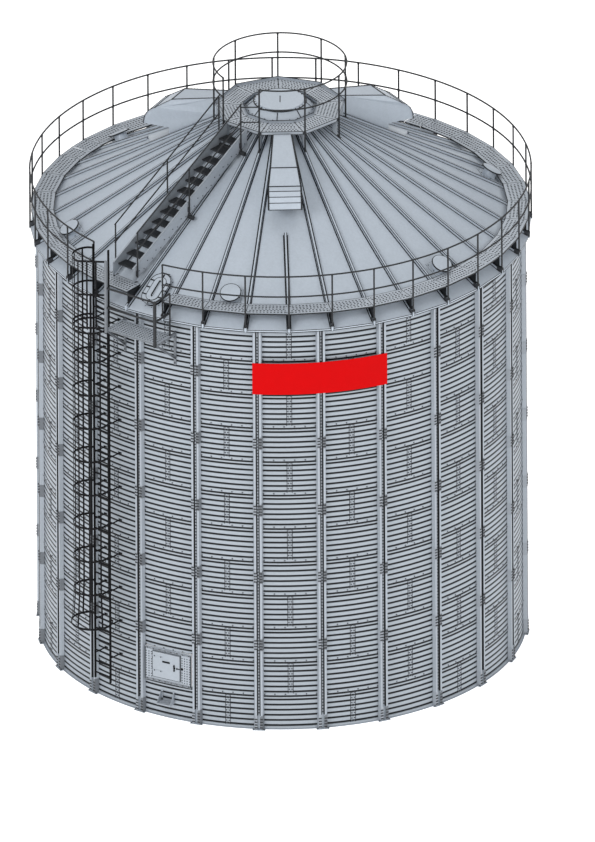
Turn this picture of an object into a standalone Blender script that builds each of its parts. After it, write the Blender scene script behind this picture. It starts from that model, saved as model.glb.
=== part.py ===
"""Bolted steel grain silo with a conical roof, roof walkway, stair, caged ladder and side door.

Metres, +Z up. The origin lies on the silo's axis at ground level. Angles are in degrees round the
axis, 0 at the door bay, which faces -Y, and growing towards +X. In a local frame at such an angle
r points outward, t along the wall the way the angle grows, and z up.
"""

from math import atan, atan2, ceil, cos, degrees, floor, radians, sin, tan

import bmesh
import bpy
from mathutils import Matrix, Vector

# Fit between pieces that touch
GAP = 0.0003
SINK = 0.005
SHY = 0.002
CUT_REACH = 0.2

# Wall
WALL_R = 5.50
WALL_T = 0.016
WALL_FACET = 5.0
RING_H = 0.845
BAY = 15.0
WALL_SECTOR = 60.0
FIRST_SEAM = 7.5

# Roof
ROOF_FACET = 10.0
ROOF_PITCH = 30.0
ROOF_T = 0.012
EAVE_R = 5.69
EAVE_Z = 10.15
EAVE_LIP = 0.06
ROOF_INNER_R = 0.66
ROOF_SECTOR = 60.0
FIRST_ROOF_CUT = 5.0
RIB_HALF = 0.030
RIB_HEIGHT = 0.060
RIB_START_R = 0.95
RIB_END_R = 5.725

# Stiffeners
STIFFENER_HALF = 0.110
STIFFENER_DEPTH = 0.100
STIFFENER_VALLEY = 0.060
RIDGE_OUTER = 0.088
RIDGE_INNER = 0.036
VALLEY_HALF = 0.024
STIFFENER_TOP = 10.12
FOOT_HALF = 0.145
FOOT_DEPTH = 0.125
FOOT_T = 0.015
BASE_RING_R = 5.545
BASE_RING_H = 0.060

# Door in the second ring from the ground
FRAME_HALF = 0.590
FRAME_BACK = 5.455
FRAME_FACE = 5.525
LEAF_LEFT = -0.389
LEAF_RIGHT = 0.320
LEAF_LOW = 0.965
LEAF_HIGH = 1.615
LEAF_T = 0.026
LEAF_CLEAR = 0.006
OPENING_INSET = 0.035
HINGE_OUT = 0.016
KNUCKLE_R = 0.011
KNUCKLE_H = 0.050
HINGE_LEVELS = (1.06, 1.42)
STRAP_LENGTH = 0.26
STRAP_H = 0.036
STRAP_T = 0.005
STRAP_START = 0.010
LUG_HALF = 0.004
LUG_BACK = 0.012
LATCH_RIGHT = 0.080
LATCH_W = 0.040
LATCH_HALF_H = 0.050
LATCH_T = 0.030
PIN_SIDES = 12

# Step under the door
STEP_LEFT = -0.190
STEP_RIGHT = 0.145
STEP_Z = 0.410
STEP_DEPTH = 0.230
STEP_H = 0.040
STEP_CHEEK_HIGH = 0.655
STEP_T = 0.010

# Walkway round the eave
DECK_TOP = 10.556
DECK_T = 0.028
DECK_INNER_R = 5.16
DECK_OUTER_R = 5.674
DECK_SECTORS = ((0.0, 85.0), (85.0, 175.0), (175.0, 265.0), (265.0, 350.0))
BRACKET_HALF = 0.020
BRACKET_IN_R = 5.20
BRACKET_OUT_R = 5.64

# Guard round the eave
GUARD_R = 5.70
GUARD_TOP = 11.515
GUARD_MIDDLE = 11.010
TUBE_R = 0.022
POST_HALF = 0.018
GUARD_SECTORS = ((0.0, 85.0), (85.0, 175.0), (175.0, 265.0), (265.0, 340.0))

# Platform at the top
PLATFORM_SIDES = 9
PLATFORM_STEP = 360.0 / PLATFORM_SIDES
PLATFORM_FIRST = 10.0
PLATFORM_R = 1.495
PLATFORM_HOLE_R = 0.86
PLATFORM_TOP = 13.10
PLATFORM_T = 0.088
PLATFORM_LEG_R = (1.36, 1.46)
PLATFORM_LEG_HALF = 0.030
TOP_GUARD_R = 1.520
TOP_GUARD_TOP = 14.177
TOP_GUARD_MIDDLE = 13.69
TOP_GUARD_STEP = 20.0

# Collar and lid of the roof's crown
COLLAR_IN_R = 0.70
COLLAR_OUT_R = 0.78
COLLAR_EDGE = 0.050
COLLAR_NECK_OUT_R = 0.60
COLLAR_NECK_IN_R = 0.57
COLLAR_TOP = 13.20
LID_R = 0.61
LID_T = 0.045
CROWN_SIDES = 36

# Exhaust hoods
HOOD_ANGLES = (30.0, 150.0, 270.0)
HOOD_START_R = 1.44
HOOD_START_Z = 13.04
HOOD_KNEE = (2.62, 12.78)
HOOD_BAND = (3.00, 12.545)
VISOR_CENTRE = (2.86, 12.08)
VISOR_REACH = 0.46
VISOR_LIP_Z = 12.05
VISOR_MOUTH_R = 2.70
VISOR_STEPS = 4
VISOR_SWEEP = 68.0
HOOD_WIDTHS = ((1.43, 0.205), (2.62, 0.305), (3.00, 0.365), (3.40, 0.370))
HOOD_SHEET = 0.015
THROAT_DROP = 0.020
RIB_CLEAR = 0.020

# Small roof vents
VENT_FIRST = 15.0
VENT_COUNT = 6
VENT_N = 4.93
VENT_PLATE_HALF = 0.23
VENT_PLATE_T = 0.010
VENT_STUB_R = 0.150
VENT_LID_LOW = 0.170
VENT_LID_R = 0.245
VENT_LID_T = 0.035
VENT_STUB_SIDES = 16
VENT_LID_SIDES = 20

# Oval hatch in the roof above the rest platform
HATCH_ANGLE = -5.0
HATCH_N = 5.12
HATCH_HALF_LENGTH = 0.44
HATCH_HALF_WIDTH = 0.265
HATCH_HEIGHT = 0.13
HATCH_LID_LIP = 0.025
HATCH_LID_T = 0.035
HATCH_END_STEPS = 8

# Stair up the roof
STAIR_ANGLE = -15.0
STAIR_HALF = 0.315
STRINGER_T = 0.025
TREADS = 13
TREAD_RUN = 0.280
TREAD_RISE = 0.162
TREAD_DEPTH = 0.265
TREAD_T = 0.035
FIRST_NOSE_N = 5.09
FIRST_TREAD_Z = 10.83
STRINGER_ABOVE = 0.17
STRINGER_BELOW = 0.20
STRINGER_FOOT_N = 5.24
STRINGER_TOP_Z = 13.09
CROSS_TUBE_NS = (3.39, 1.67)
CROSS_TUBE_R = 0.050
CROSS_TUBE_HALF = 0.47
CROSS_TUBE_LIFT = 0.0017
CROSS_TUBE_SIDES = 12
RAIL_ABOVE = 1.00
RAIL_MIDDLE_ABOVE = 0.55
RAIL_POST_NS = (5.12, *CROSS_TUBE_NS)
RAIL_T = 0.341
RAIL_TUBE_R = 0.018
RAIL_POST_R = 0.020
RAIL_OVERHANG = 0.028
RAIL_SEAT_HALF = 0.03
RAIL_SEAT_LOW = 0.10
RAIL_SEAT_HIGH = 0.02
RAIL_POST_LOW = 0.13
LINK_LEVELS = (13.74, 13.36)

# Ladder and the struts that hold it off the wall
LADDER_ANGLE = -15.0
LADDER_N = 5.85
LADDER_MIDDLE_T = -0.12
LADDER_HALF = 0.235
LADDER_RAIL_HALF = 0.0125
LADDER_RAIL_DEPTH = 0.025
LADDER_LOW = 0.615
LADDER_HIGH = 11.56
RUNG_FIRST = 0.76
RUNG_PITCH = 0.28
RUNG_LAST = 10.50
RUNG_HALF = 0.015
STRUTS = 11
STRUT_FIRST = 1.24
STRUT_HALF = 0.006
STRUT_H = 0.040
STRUT_FOOT_HALF = 0.050
STRUT_FOOT_T = 0.008

# Safety cage: bands at these levels, the upper ones open towards the rest platform
CAGE_N = 6.20
CAGE_R = 0.42
CAGE_FLARE = 0.06
CAGE_STEP = 37.0
CAGE_SIDES = 8
CAGE_FIRST = 2.24
CAGE_PITCH = 0.84
CLOSED_BANDS = 9
OPEN_BANDS = 3
CAGE_LAST_CLOSED = 9.70
BAND_H = 0.050
BAND_T = 0.010
BAND_END = 0.006
CAGE_BAR_HALF = 0.020
CAGE_BAR_OUT = 0.004
CAGE_BAR_IN = 0.012

# Rest platform beside the ladder
REST_ANGLE = -7.5
REST_LEFT = -0.45
REST_RIGHT = 0.97
REST_OUT_N = 6.20
REST_TOP = 9.78
REST_T = 0.040
REST_CHANNEL_H = 0.080
REST_CHANNEL_HALF = 0.020
REST_BAR_HALF = 0.0285
REST_BAR_T = 0.030
REST_BAR_LOW = 8.95
REST_STRUT_LOW = 9.09
REST_STRUT_H = 0.070
REST_STRUT_HALF = 0.018
REST_POST_HALF = 0.030
REST_POST_N = REST_OUT_N + GAP + REST_POST_HALF
REST_POST_TOP = 11.51
REST_INNER_POST_N = 5.64
REST_INNER_POST_R = 0.020
REST_RAIL_R = 0.025
REST_RAIL_TOP = 10.83
REST_RAIL_MIDDLE = 10.34

# Plain panel hung on the stiffeners
PANEL_FROM = 21.4
PANEL_TO = 53.6
PANEL_LOW = 8.49
PANEL_HIGH = 9.275
PANEL_T = 0.006

WALL_STEEL = ((0.470, 0.515, 0.565), 0.38, 0.85)
ROOF_STEEL = ((0.500, 0.545, 0.600), 0.36, 0.85)
FRAME_STEEL = ((0.400, 0.440, 0.490), 0.42, 0.85)
GRATE_STEEL = ((0.330, 0.360, 0.400), 0.50, 0.80)
DARK_STEEL = ((0.060, 0.066, 0.074), 0.50, 0.60)
PANEL_RED = ((0.760, 0.010, 0.012), 0.40, 0.00)

SLOPE = tan(radians(ROOF_PITCH))
HALF_FACET = ROOF_FACET / 2.0
RIB_RISE = RIB_HEIGHT / cos(radians(ROOF_PITCH))
SHEET_DROP = ROOF_T / cos(radians(ROOF_PITCH))
STIFFENER_BACK = (WALL_R + GAP) * cos(radians(WALL_FACET / 2.0))
WALL_TOP = EAVE_Z + (EAVE_R - WALL_R / cos(radians(HALF_FACET))) * SLOPE - SHEET_DROP - GAP
DOOR_LOW = RING_H
DOOR_HIGH = 2.0 * RING_H
HINGE_T = LEAF_LEFT - HINGE_OUT
HINGE_R = FRAME_FACE + LEAF_CLEAR + LEAF_T / 2.0


def roof_z(radius):
    """Height of the roof's top surface on a rib line."""
    return EAVE_Z + (EAVE_R - radius) * SLOPE


def panel_z(distance):
    """Height of the roof's top surface in the middle of a flat panel."""
    return roof_z(distance / cos(radians(HALF_FACET)))


def rib_top(radius):
    """Height of the top of a rib."""
    return roof_z(radius) + RIB_RISE


def nose_z(distance):
    """Height of the line through the stair's nosings."""
    return FIRST_TREAD_Z + (FIRST_NOSE_N - distance) * TREAD_RISE / TREAD_RUN


def cross_tube_z(distance):
    """Height of a cross tube's middle where it lies on the two ribs under the stair."""
    rest = (CROSS_TUBE_R + CROSS_TUBE_LIFT) / cos(radians(ROOF_PITCH))
    return rib_top(distance / cos(radians(HALF_FACET))) + rest


def facing(angle):
    """Frame whose x is r, whose y is t and whose z is up, at an angle round the axis."""
    return Matrix.Rotation(radians(angle - 90.0), 4, "Z")


def clear_scene():
    """Remove whatever the file holds."""
    for item in list(bpy.data.objects):
        bpy.data.objects.remove(item, do_unlink=True)


def collection(name):
    """A new collection in the scene."""
    group = bpy.data.collections.new(name)
    bpy.context.scene.collection.children.link(group)
    return group


def paint(name, finish):
    """A Principled material from colour, roughness and metallic value."""
    colour, roughness, metallic = finish
    material = bpy.data.materials.new(name)
    material.use_nodes = True
    shader = material.node_tree.nodes["Principled BSDF"]
    shader.inputs["Base Color"].default_value = (*colour, 1.0)
    shader.inputs["Roughness"].default_value = roughness
    shader.inputs["Metallic"].default_value = metallic
    return material


def shape_from(bm):
    """An object on the workbench from a bmesh, with its faces pointing out."""
    bmesh.ops.recalc_face_normals(bm, faces=bm.faces)
    mesh = bpy.data.meshes.new("shape")
    bm.to_mesh(mesh)
    bm.free()
    shape = bpy.data.objects.new("shape", mesh)
    WORKBENCH.objects.link(shape)
    return shape


def box(low, high, frame=Matrix()):
    """A box between two corners of a frame."""
    bm = bmesh.new()
    low, high = Vector(low), Vector(high)
    size = high - low
    matrix = frame @ Matrix.Translation((low + high) / 2.0) @ Matrix.Diagonal((*size, 1.0))
    bmesh.ops.create_cube(bm, size=1.0, matrix=matrix)
    return shape_from(bm)


def cylinder(centre, radius, length, frame=Matrix(), sides=6):
    """An upright cylinder in a frame, from its middle."""
    bm = bmesh.new()
    bmesh.ops.create_cone(bm, cap_ends=True, segments=sides, radius1=radius, radius2=radius,
                          depth=length, matrix=frame @ Matrix.Translation(centre))
    return shape_from(bm)


def post(radius, offset, low, high, tube, frame, sides=6):
    """An upright tube at r and t of a frame."""
    return cylinder((radius, offset, (low + high) / 2.0), tube, high - low, frame, sides)


def flat_face(bm, points):
    """One face through a list of points."""
    return bm.faces.new([bm.verts.new(point) for point in points])


def extruded(points, along, frame=Matrix()):
    """A prism: a flat outline of 3-D points, pushed along a vector."""
    bm = bmesh.new()
    face = flat_face(bm, points)
    pushed = bmesh.ops.extrude_face_region(bm, geom=[face])
    corners = [item for item in pushed["geom"] if isinstance(item, bmesh.types.BMVert)]
    bmesh.ops.translate(bm, verts=corners, vec=along)
    bmesh.ops.transform(bm, matrix=frame, verts=bm.verts)
    return shape_from(bm)


def plate(outline, low, high, frame=Matrix()):
    """A plate that stands along r: an (r, z) outline between two values of t."""
    return extruded([(r, low, z) for r, z in outline], (0.0, high - low, 0.0), frame)


def column(outline, low, high, frame=Matrix()):
    """An upright bar: an (r, t) outline between two heights."""
    return extruded([(r, t, low) for r, t in outline], (0.0, 0.0, high - low), frame)


def sector(outline, start, end, facet):
    """An (r, z) outline swept round the axis between two angles, on a polygon of facets.

    The polygon's corners lie at whole multiples of the facet. Each end is cut along a plane
    through the axis, half a gap inside its angle.
    """
    bm = bmesh.new()
    first = (floor(start / facet) - 1) * facet
    last = (ceil(end / facet) + 1) * facet
    turned = facing(first)
    face = flat_face(bm, [turned @ Vector((r, 0.0, z)) for r, z in outline])
    bmesh.ops.spin(bm, geom=[face, *face.edges, *face.verts], axis=(0.0, 0.0, 1.0),
                   cent=(0.0, 0.0, 0.0), angle=radians(last - first),
                   steps=round((last - first) / facet))
    bmesh.ops.recalc_face_normals(bm, faces=bm.faces)
    for angle, side in ((start, -1.0), (end, 1.0)):
        across = facing(angle) @ Vector((0.0, side, 0.0))
        cut = bmesh.ops.bisect_plane(bm, geom=[*bm.verts, *bm.edges, *bm.faces],
                                     plane_co=-across * GAP / 2.0, plane_no=across,
                                     clear_outer=True)
        rim = [item for item in cut["geom_cut"] if isinstance(item, bmesh.types.BMEdge)]
        bmesh.ops.edgeloop_fill(bm, edges=rim)
    return shape_from(bm)


def ring(outline, sides, first=0.0):
    """A closed (r, z) outline turned all the way round the axis on a polygon."""
    bm = bmesh.new()
    turned = facing(first)
    corners = [bm.verts.new(turned @ Vector((r, 0.0, z))) for r, z in outline]
    edges = [bm.edges.new((corners[i - 1], corners[i])) for i in range(len(corners))]
    bmesh.ops.spin(bm, geom=[*corners, *edges], axis=(0.0, 0.0, 1.0), cent=(0.0, 0.0, 0.0),
                   angle=radians(360.0), steps=sides)
    bmesh.ops.remove_doubles(bm, verts=bm.verts, dist=GAP / 3.0)
    return shape_from(bm)


def tube(points, radius, frame=Matrix(), resolution=1):
    """A mesh tube with closed ends along straight stretches."""
    curve = bpy.data.curves.new("tube", "CURVE")
    curve.dimensions = "3D"
    curve.bevel_depth = radius
    curve.bevel_resolution = resolution
    curve.use_fill_caps = True
    spline = curve.splines.new("POLY")
    spline.points.add(len(points) - 1)
    for knot, place in zip(spline.points, points):
        knot.co = (*place, 1.0)
    wire = bpy.data.objects.new("tube", curve)
    WORKBENCH.objects.link(wire)
    bpy.context.view_layer.update()
    mesh = bpy.data.meshes.new_from_object(wire.evaluated_get(bpy.context.evaluated_depsgraph_get()))
    bpy.data.objects.remove(wire)
    bm = bmesh.new()
    bm.from_mesh(mesh)
    bpy.data.meshes.remove(mesh)
    bmesh.ops.remove_doubles(bm, verts=bm.verts, dist=GAP / 10.0)
    bmesh.ops.transform(bm, matrix=frame, verts=bm.verts)
    return shape_from(bm)


def arc(radius, height, start, end, step):
    """Points round the axis at one height."""
    count = round((end - start) / step)
    return [facing(start + step * i) @ Vector((radius, 0.0, height)) for i in range(count + 1)]


def apply_boolean(body, tools, operation):
    """Join tools to a shape, or cut them out of it."""
    group = bpy.data.collections.new("tools")
    for tool in tools:
        group.objects.link(tool)
    change = body.modifiers.new("Change", "BOOLEAN")
    change.solver = "EXACT"
    change.operation = operation
    change.operand_type = "COLLECTION"
    change.collection = group
    bpy.context.view_layer.update()
    mesh = bpy.data.meshes.new_from_object(body.evaluated_get(bpy.context.evaluated_depsgraph_get()))
    body.modifiers.clear()
    body.data = mesh
    for tool in tools:
        bpy.data.objects.remove(tool)
    bpy.data.collections.remove(group)
    return body


def joined(shapes):
    """One body from shapes that run into each other."""
    if len(shapes) == 1:
        return shapes[0]
    return apply_boolean(shapes[0], shapes[1:], "UNION")


def trimmed(shape, place, normal, frame):
    """A shape cut off flat on the far side of a plane, then put in a frame."""
    bm = bmesh.new()
    bm.from_mesh(shape.data)
    bpy.data.objects.remove(shape)
    sliced = bmesh.ops.bisect_plane(bm, geom=[*bm.verts, *bm.edges, *bm.faces], plane_co=place,
                                    plane_no=normal, clear_outer=True)
    rim = [item for item in sliced["geom_cut"] if isinstance(item, bmesh.types.BMEdge)]
    bmesh.ops.edgeloop_fill(bm, edges=rim)
    bmesh.ops.transform(bm, matrix=frame, verts=bm.verts)
    return shape_from(bm)


def cut(body, cutters):
    """A shape with others cut out of it."""
    return apply_boolean(body, cutters, "DIFFERENCE")


def part(name, shape, material, turn=0.0, smooth=True):
    """Name a shape, colour it, and put it with the silo's parts."""
    shape.name = name
    shape.data.name = name
    shape.data.materials.clear()
    shape.data.materials.append(material)
    if smooth:
        shape.data.shade_smooth()
        shape.data.set_sharp_from_angle(angle=radians(35.0))
    for group in list(shape.users_collection):
        group.objects.unlink(shape)
    PARTS.objects.link(shape)
    shape.rotation_euler.z = radians(turn)
    return shape


def copy_of(name, shape, turn):
    """Another part with the same mesh, turned round the silo's axis."""
    other = bpy.data.objects.new(name, shape.data)
    PARTS.objects.link(other)
    other.rotation_euler.z = radians(turn)
    return other


def sheet(low, high):
    """Outline of the wall between two heights."""
    return [(WALL_R - WALL_T, low), (WALL_R, low), (WALL_R, high), (WALL_R - WALL_T, high)]


def make_wall(material):
    """Round wall: five wide segments, a narrow one, and the door bay above and below its ring."""
    first = part("wall_segment_1", sector(sheet(0.0, WALL_TOP), FIRST_SEAM,
                                          FIRST_SEAM + WALL_SECTOR, WALL_FACET), material)
    for number in range(1, 5):
        copy_of(f"wall_segment_{number + 1}", first, WALL_SECTOR * number)
    start = FIRST_SEAM + 5.0 * WALL_SECTOR
    part("wall_segment_6", sector(sheet(0.0, WALL_TOP), start, 360.0 - FIRST_SEAM, WALL_FACET),
         material)
    part("wall_below_door", sector(sheet(0.0, DOOR_LOW - GAP), -FIRST_SEAM, FIRST_SEAM,
                                   WALL_FACET), material)
    part("wall_above_door", sector(sheet(DOOR_HIGH + GAP, WALL_TOP), -FIRST_SEAM, FIRST_SEAM,
                                   WALL_FACET), material)


def stiffener_outline():
    """Plan of a stiffener: two ridges with a valley between them."""
    back = STIFFENER_BACK
    half = [(back, STIFFENER_HALF), (back + STIFFENER_DEPTH, RIDGE_OUTER),
            (back + STIFFENER_DEPTH, RIDGE_INNER), (back + STIFFENER_VALLEY, VALLEY_HALF)]
    return half + [(r, -t) for r, t in reversed(half)]


def make_stiffeners(material):
    """Four quarters of the base ring, each with six stiffeners on their feet."""
    base = [(WALL_R + GAP, 0.0), (BASE_RING_R, 0.0), (BASE_RING_R, BASE_RING_H),
            (WALL_R + GAP, BASE_RING_H)]
    shapes = [sector(base, -45.0, 45.0, WALL_FACET)]
    for number in range(6):
        frame = facing(-37.5 + BAY * number)
        shapes.append(column(stiffener_outline(), 0.0, STIFFENER_TOP, frame))
        shapes.append(box((STIFFENER_BACK, -FOOT_HALF, 0.0),
                          (STIFFENER_BACK + FOOT_DEPTH, FOOT_HALF, FOOT_T), frame))
    first = part("stiffeners_front", joined(shapes), material, smooth=False)
    for name, turn in (("stiffeners_right", 90.0), ("stiffeners_back", 180.0),
                       ("stiffeners_left", 270.0)):
        copy_of(name, first, turn)


def roof_outline():
    """Section of the roof sheet with its lip at the eave."""
    under = roof_z(ROOF_INNER_R) - SHEET_DROP
    inside = EAVE_R - ROOF_T
    return [(ROOF_INNER_R, under), (inside, roof_z(inside) - SHEET_DROP),
            (inside, EAVE_Z - EAVE_LIP), (EAVE_R, EAVE_Z - EAVE_LIP), (EAVE_R, EAVE_Z),
            (ROOF_INNER_R, roof_z(ROOF_INNER_R))]


def rib(angle, start):
    """A standing rib along the roof."""
    outline = [(start, roof_z(start) - SINK), (RIB_END_R, roof_z(RIB_END_R) - SINK),
               (RIB_END_R, rib_top(RIB_END_R)), (start, rib_top(start))]
    return plate(outline, -RIB_HALF, RIB_HALF, facing(angle))


def roof_sector(hooded):
    """A sixth of the roof with six ribs; under a hood one rib starts lower down."""
    shapes = [sector(roof_outline(), FIRST_ROOF_CUT, FIRST_ROOF_CUT + ROOF_SECTOR, ROOF_FACET)]
    for number in range(1, 7):
        angle = ROOF_FACET * number
        short = hooded and angle == HOOD_ANGLES[0]
        shapes.append(rib(angle, HOOD_WIDTHS[-1][0] + RIB_CLEAR if short else RIB_START_R))
    return joined(shapes)


def make_roof(material):
    """Six roof sectors; every other one carries a hood."""
    hooded = part("roof_sector_1", roof_sector(True), material, smooth=False)
    plain = part("roof_sector_2", roof_sector(False), material, turn=ROOF_SECTOR, smooth=False)
    for number in range(2, 6):
        source = plain if number % 2 else hooded
        copy_of(f"roof_sector_{number + 1}", source, ROOF_SECTOR * number)


def make_crown(steel, lid_steel):
    """Collar on the roof's inner edge, and the lid on it."""
    outline = [(COLLAR_IN_R, roof_z(COLLAR_IN_R) + GAP), (COLLAR_OUT_R, roof_z(COLLAR_OUT_R) + GAP),
               (COLLAR_OUT_R, roof_z(COLLAR_OUT_R) + COLLAR_EDGE),
               (COLLAR_NECK_OUT_R, COLLAR_TOP), (COLLAR_NECK_IN_R, COLLAR_TOP)]
    part("roof_collar", ring(outline, CROWN_SIDES), steel)
    lid = cylinder((0.0, 0.0, COLLAR_TOP + GAP + LID_T / 2.0), LID_R, LID_T,
                   sides=CROWN_SIDES)
    part("crown_lid", lid, lid_steel)


def make_walkway(material):
    """Planks round the eave, each sector on the brackets that stand on the ribs."""
    deck = [(DECK_INNER_R, DECK_TOP - DECK_T), (DECK_OUTER_R, DECK_TOP - DECK_T),
            (DECK_OUTER_R, DECK_TOP), (DECK_INNER_R, DECK_TOP)]
    top = DECK_TOP - DECK_T + SINK
    bracket = [(BRACKET_IN_R, rib_top(BRACKET_IN_R) + GAP),
               (BRACKET_OUT_R, rib_top(BRACKET_OUT_R) + GAP),
               (BRACKET_OUT_R, top), (BRACKET_IN_R, top)]
    for number, (start, end) in enumerate(DECK_SECTORS, 1):
        shapes = [sector(deck, start, end, ROOF_FACET)]
        angle = ceil(start / ROOF_FACET) * ROOF_FACET
        while angle <= end:
            shapes.append(plate(bracket, -BRACKET_HALF, BRACKET_HALF, facing(angle)))
            angle += ROOF_FACET
        part(f"walkway_{number}", joined(shapes), material, smooth=False)


def make_eave_guard(material):
    """Posts on the ribs, with a top rail and a middle rail; open at the ladder and the hatch."""
    foot = rib_top(GUARD_R - POST_HALF) + GAP
    for number, (start, end) in enumerate(GUARD_SECTORS, 1):
        first = ceil(start / ROOF_FACET) * ROOF_FACET
        last = floor(end / ROOF_FACET) * ROOF_FACET
        shapes = []
        for height in (GUARD_TOP, GUARD_MIDDLE):
            knots = arc(GUARD_R, height, first, last, ROOF_FACET)
            middle = GUARD_R * cos(radians(HALF_FACET))
            if start < first:
                knots.insert(0, facing(start) @ Vector((middle, GAP / 2.0, height)))
            if end > last:
                knots.append(facing(end) @ Vector((middle, -GAP / 2.0, height)))
            shapes.append(tube(knots, TUBE_R, resolution=0))
        angle = first
        while angle <= last:
            shapes.append(box((GUARD_R - POST_HALF, -POST_HALF, foot),
                              (GUARD_R + POST_HALF, POST_HALF, GUARD_TOP), facing(angle)))
            angle += ROOF_FACET
        part(f"eave_guard_{number}", joined(shapes), material)


def make_top_platform(deck_steel, rail_steel):
    """Nine-sided platform round the crown on its legs, and the guard round it."""
    low = PLATFORM_TOP - PLATFORM_T
    outline = [(PLATFORM_HOLE_R, low), (PLATFORM_R, low), (PLATFORM_R, PLATFORM_TOP),
               (PLATFORM_HOLE_R, PLATFORM_TOP)]
    inner, outer = PLATFORM_LEG_R
    shapes = [ring(outline, PLATFORM_SIDES, PLATFORM_FIRST)]
    posts = []
    foot = rib_top(TOP_GUARD_R - TUBE_R * cos(radians(30.0))) + GAP
    for number in range(PLATFORM_SIDES):
        frame = facing(PLATFORM_FIRST + PLATFORM_STEP * number)
        shapes.append(box((inner, -PLATFORM_LEG_HALF, rib_top(inner) + GAP),
                          (outer, PLATFORM_LEG_HALF, low + SINK), frame))
        posts.append(post(TOP_GUARD_R, 0.0, foot, TOP_GUARD_TOP, TUBE_R, frame))
    part("top_platform", joined(shapes), deck_steel, smooth=False)
    last = PLATFORM_FIRST + PLATFORM_STEP * (PLATFORM_SIDES - 1)
    rails = [tube(arc(TOP_GUARD_R, height, PLATFORM_FIRST, last, TOP_GUARD_STEP), TUBE_R)
             for height in (TOP_GUARD_TOP, TOP_GUARD_MIDDLE)]
    part("top_guard", joined(rails + posts), rail_steel)


def hood_half_width(radius):
    """Half the hood's width at a distance from the axis."""
    for (r0, w0), (r1, w1) in zip(HOOD_WIDTHS, HOOD_WIDTHS[1:]):
        if radius <= r1:
            return w0 + (w1 - w0) * (radius - r0) / (r1 - r0)
    return HOOD_WIDTHS[-1][1]


def visor(reach):
    """Rounded front of the hood from the band down to the lip."""
    centre_r, centre_z = VISOR_CENTRE
    points = []
    for step in range(VISOR_STEPS + 1):
        angle = radians(VISOR_SWEEP * (1.0 - step / VISOR_STEPS))
        points.append((centre_r + reach * cos(angle), centre_z + reach * sin(angle)))
    return points


def widened(outline, inset, frame):
    """A prism along r whose sides follow the hood's width."""
    shape = plate(outline, -1.0, 1.0)
    for corner in shape.data.vertices:
        half = hood_half_width(corner.co.x) - inset
        corner.co.y = half if corner.co.y > 0.0 else -half
    shape.data.transform(frame)
    return shape


def make_hoods(material):
    """Three exhaust hoods that rise beside the platform and open downward over the roof."""
    front = visor(VISOR_REACH)
    lip_r = front[-1][0]
    foot_z = roof_z(VISOR_MOUTH_R) + GAP
    outline = [(HOOD_START_R, roof_z(HOOD_START_R) + GAP), (HOOD_START_R, HOOD_START_Z), HOOD_KNEE,
               *front, (lip_r, VISOR_LIP_Z), (VISOR_MOUTH_R, foot_z)]
    inner = visor(VISOR_REACH - HOOD_SHEET)
    throat = VISOR_MOUTH_R + HOOD_SHEET
    pocket = [(throat, roof_z(throat) - CUT_REACH), (throat, HOOD_BAND[1] - THROAT_DROP), *inner,
              (inner[-1][0], VISOR_LIP_Z - CUT_REACH)]
    frame = facing(HOOD_ANGLES[0])
    body = cut(widened(outline, 0.0, frame), [widened(pocket, HOOD_SHEET, frame)])
    first = part("exhaust_hood_1", body, material)
    for number, angle in enumerate(HOOD_ANGLES[1:], 2):
        copy_of(f"exhaust_hood_{number}", first, angle - HOOD_ANGLES[0])


def on_panel(angle, distance):
    """Frame on a roof panel's surface: x down the slope, y along the eave, z out of the roof."""
    pitch = atan(SLOPE / cos(radians(HALF_FACET)))
    place = Matrix.Translation((distance, 0.0, panel_z(distance)))
    return facing(angle) @ place @ Matrix.Rotation(pitch, 4, "Y")


def make_vents(material):
    """Six small roof vents: a plate, a stub and a round lid."""
    frame = on_panel(VENT_FIRST, VENT_N)
    half = VENT_PLATE_HALF
    shapes = [box((-half, -half, GAP), (half, half, VENT_PLATE_T), frame),
              cylinder((0.0, 0.0, (VENT_LID_LOW + SINK) / 2.0 + GAP), VENT_STUB_R,
                       VENT_LID_LOW + SINK, frame, VENT_STUB_SIDES),
              cylinder((0.0, 0.0, VENT_LID_LOW + VENT_LID_T / 2.0), VENT_LID_R, VENT_LID_T,
                       frame, VENT_LID_SIDES)]
    first = part("roof_vent_1", joined(shapes), material)
    for number in range(1, VENT_COUNT):
        copy_of(f"roof_vent_{number + 1}", first, 360.0 / VENT_COUNT * number)


def oval(half_length, half_width, low, high, frame):
    """A flat bar with round ends, its length down the slope."""
    points = []
    reach = half_length - half_width
    for end, start in ((reach, -90.0), (-reach, 90.0)):
        for step in range(HATCH_END_STEPS + 1):
            angle = radians(start + 180.0 * step / HATCH_END_STEPS)
            points.append((end + half_width * cos(angle), half_width * sin(angle), low))
    return extruded(points, (0.0, 0.0, high - low), frame)


def make_hatch(material):
    """Oval roof hatch: a raised collar under a lid."""
    frame = on_panel(HATCH_ANGLE, HATCH_N)
    shapes = [oval(HATCH_HALF_LENGTH - HATCH_LID_LIP, HATCH_HALF_WIDTH - HATCH_LID_LIP, GAP,
                   HATCH_HEIGHT, frame),
              oval(HATCH_HALF_LENGTH, HATCH_HALF_WIDTH, HATCH_HEIGHT - HATCH_LID_T,
                   HATCH_HEIGHT, frame)]
    part("roof_hatch", joined(shapes), material)


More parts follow.
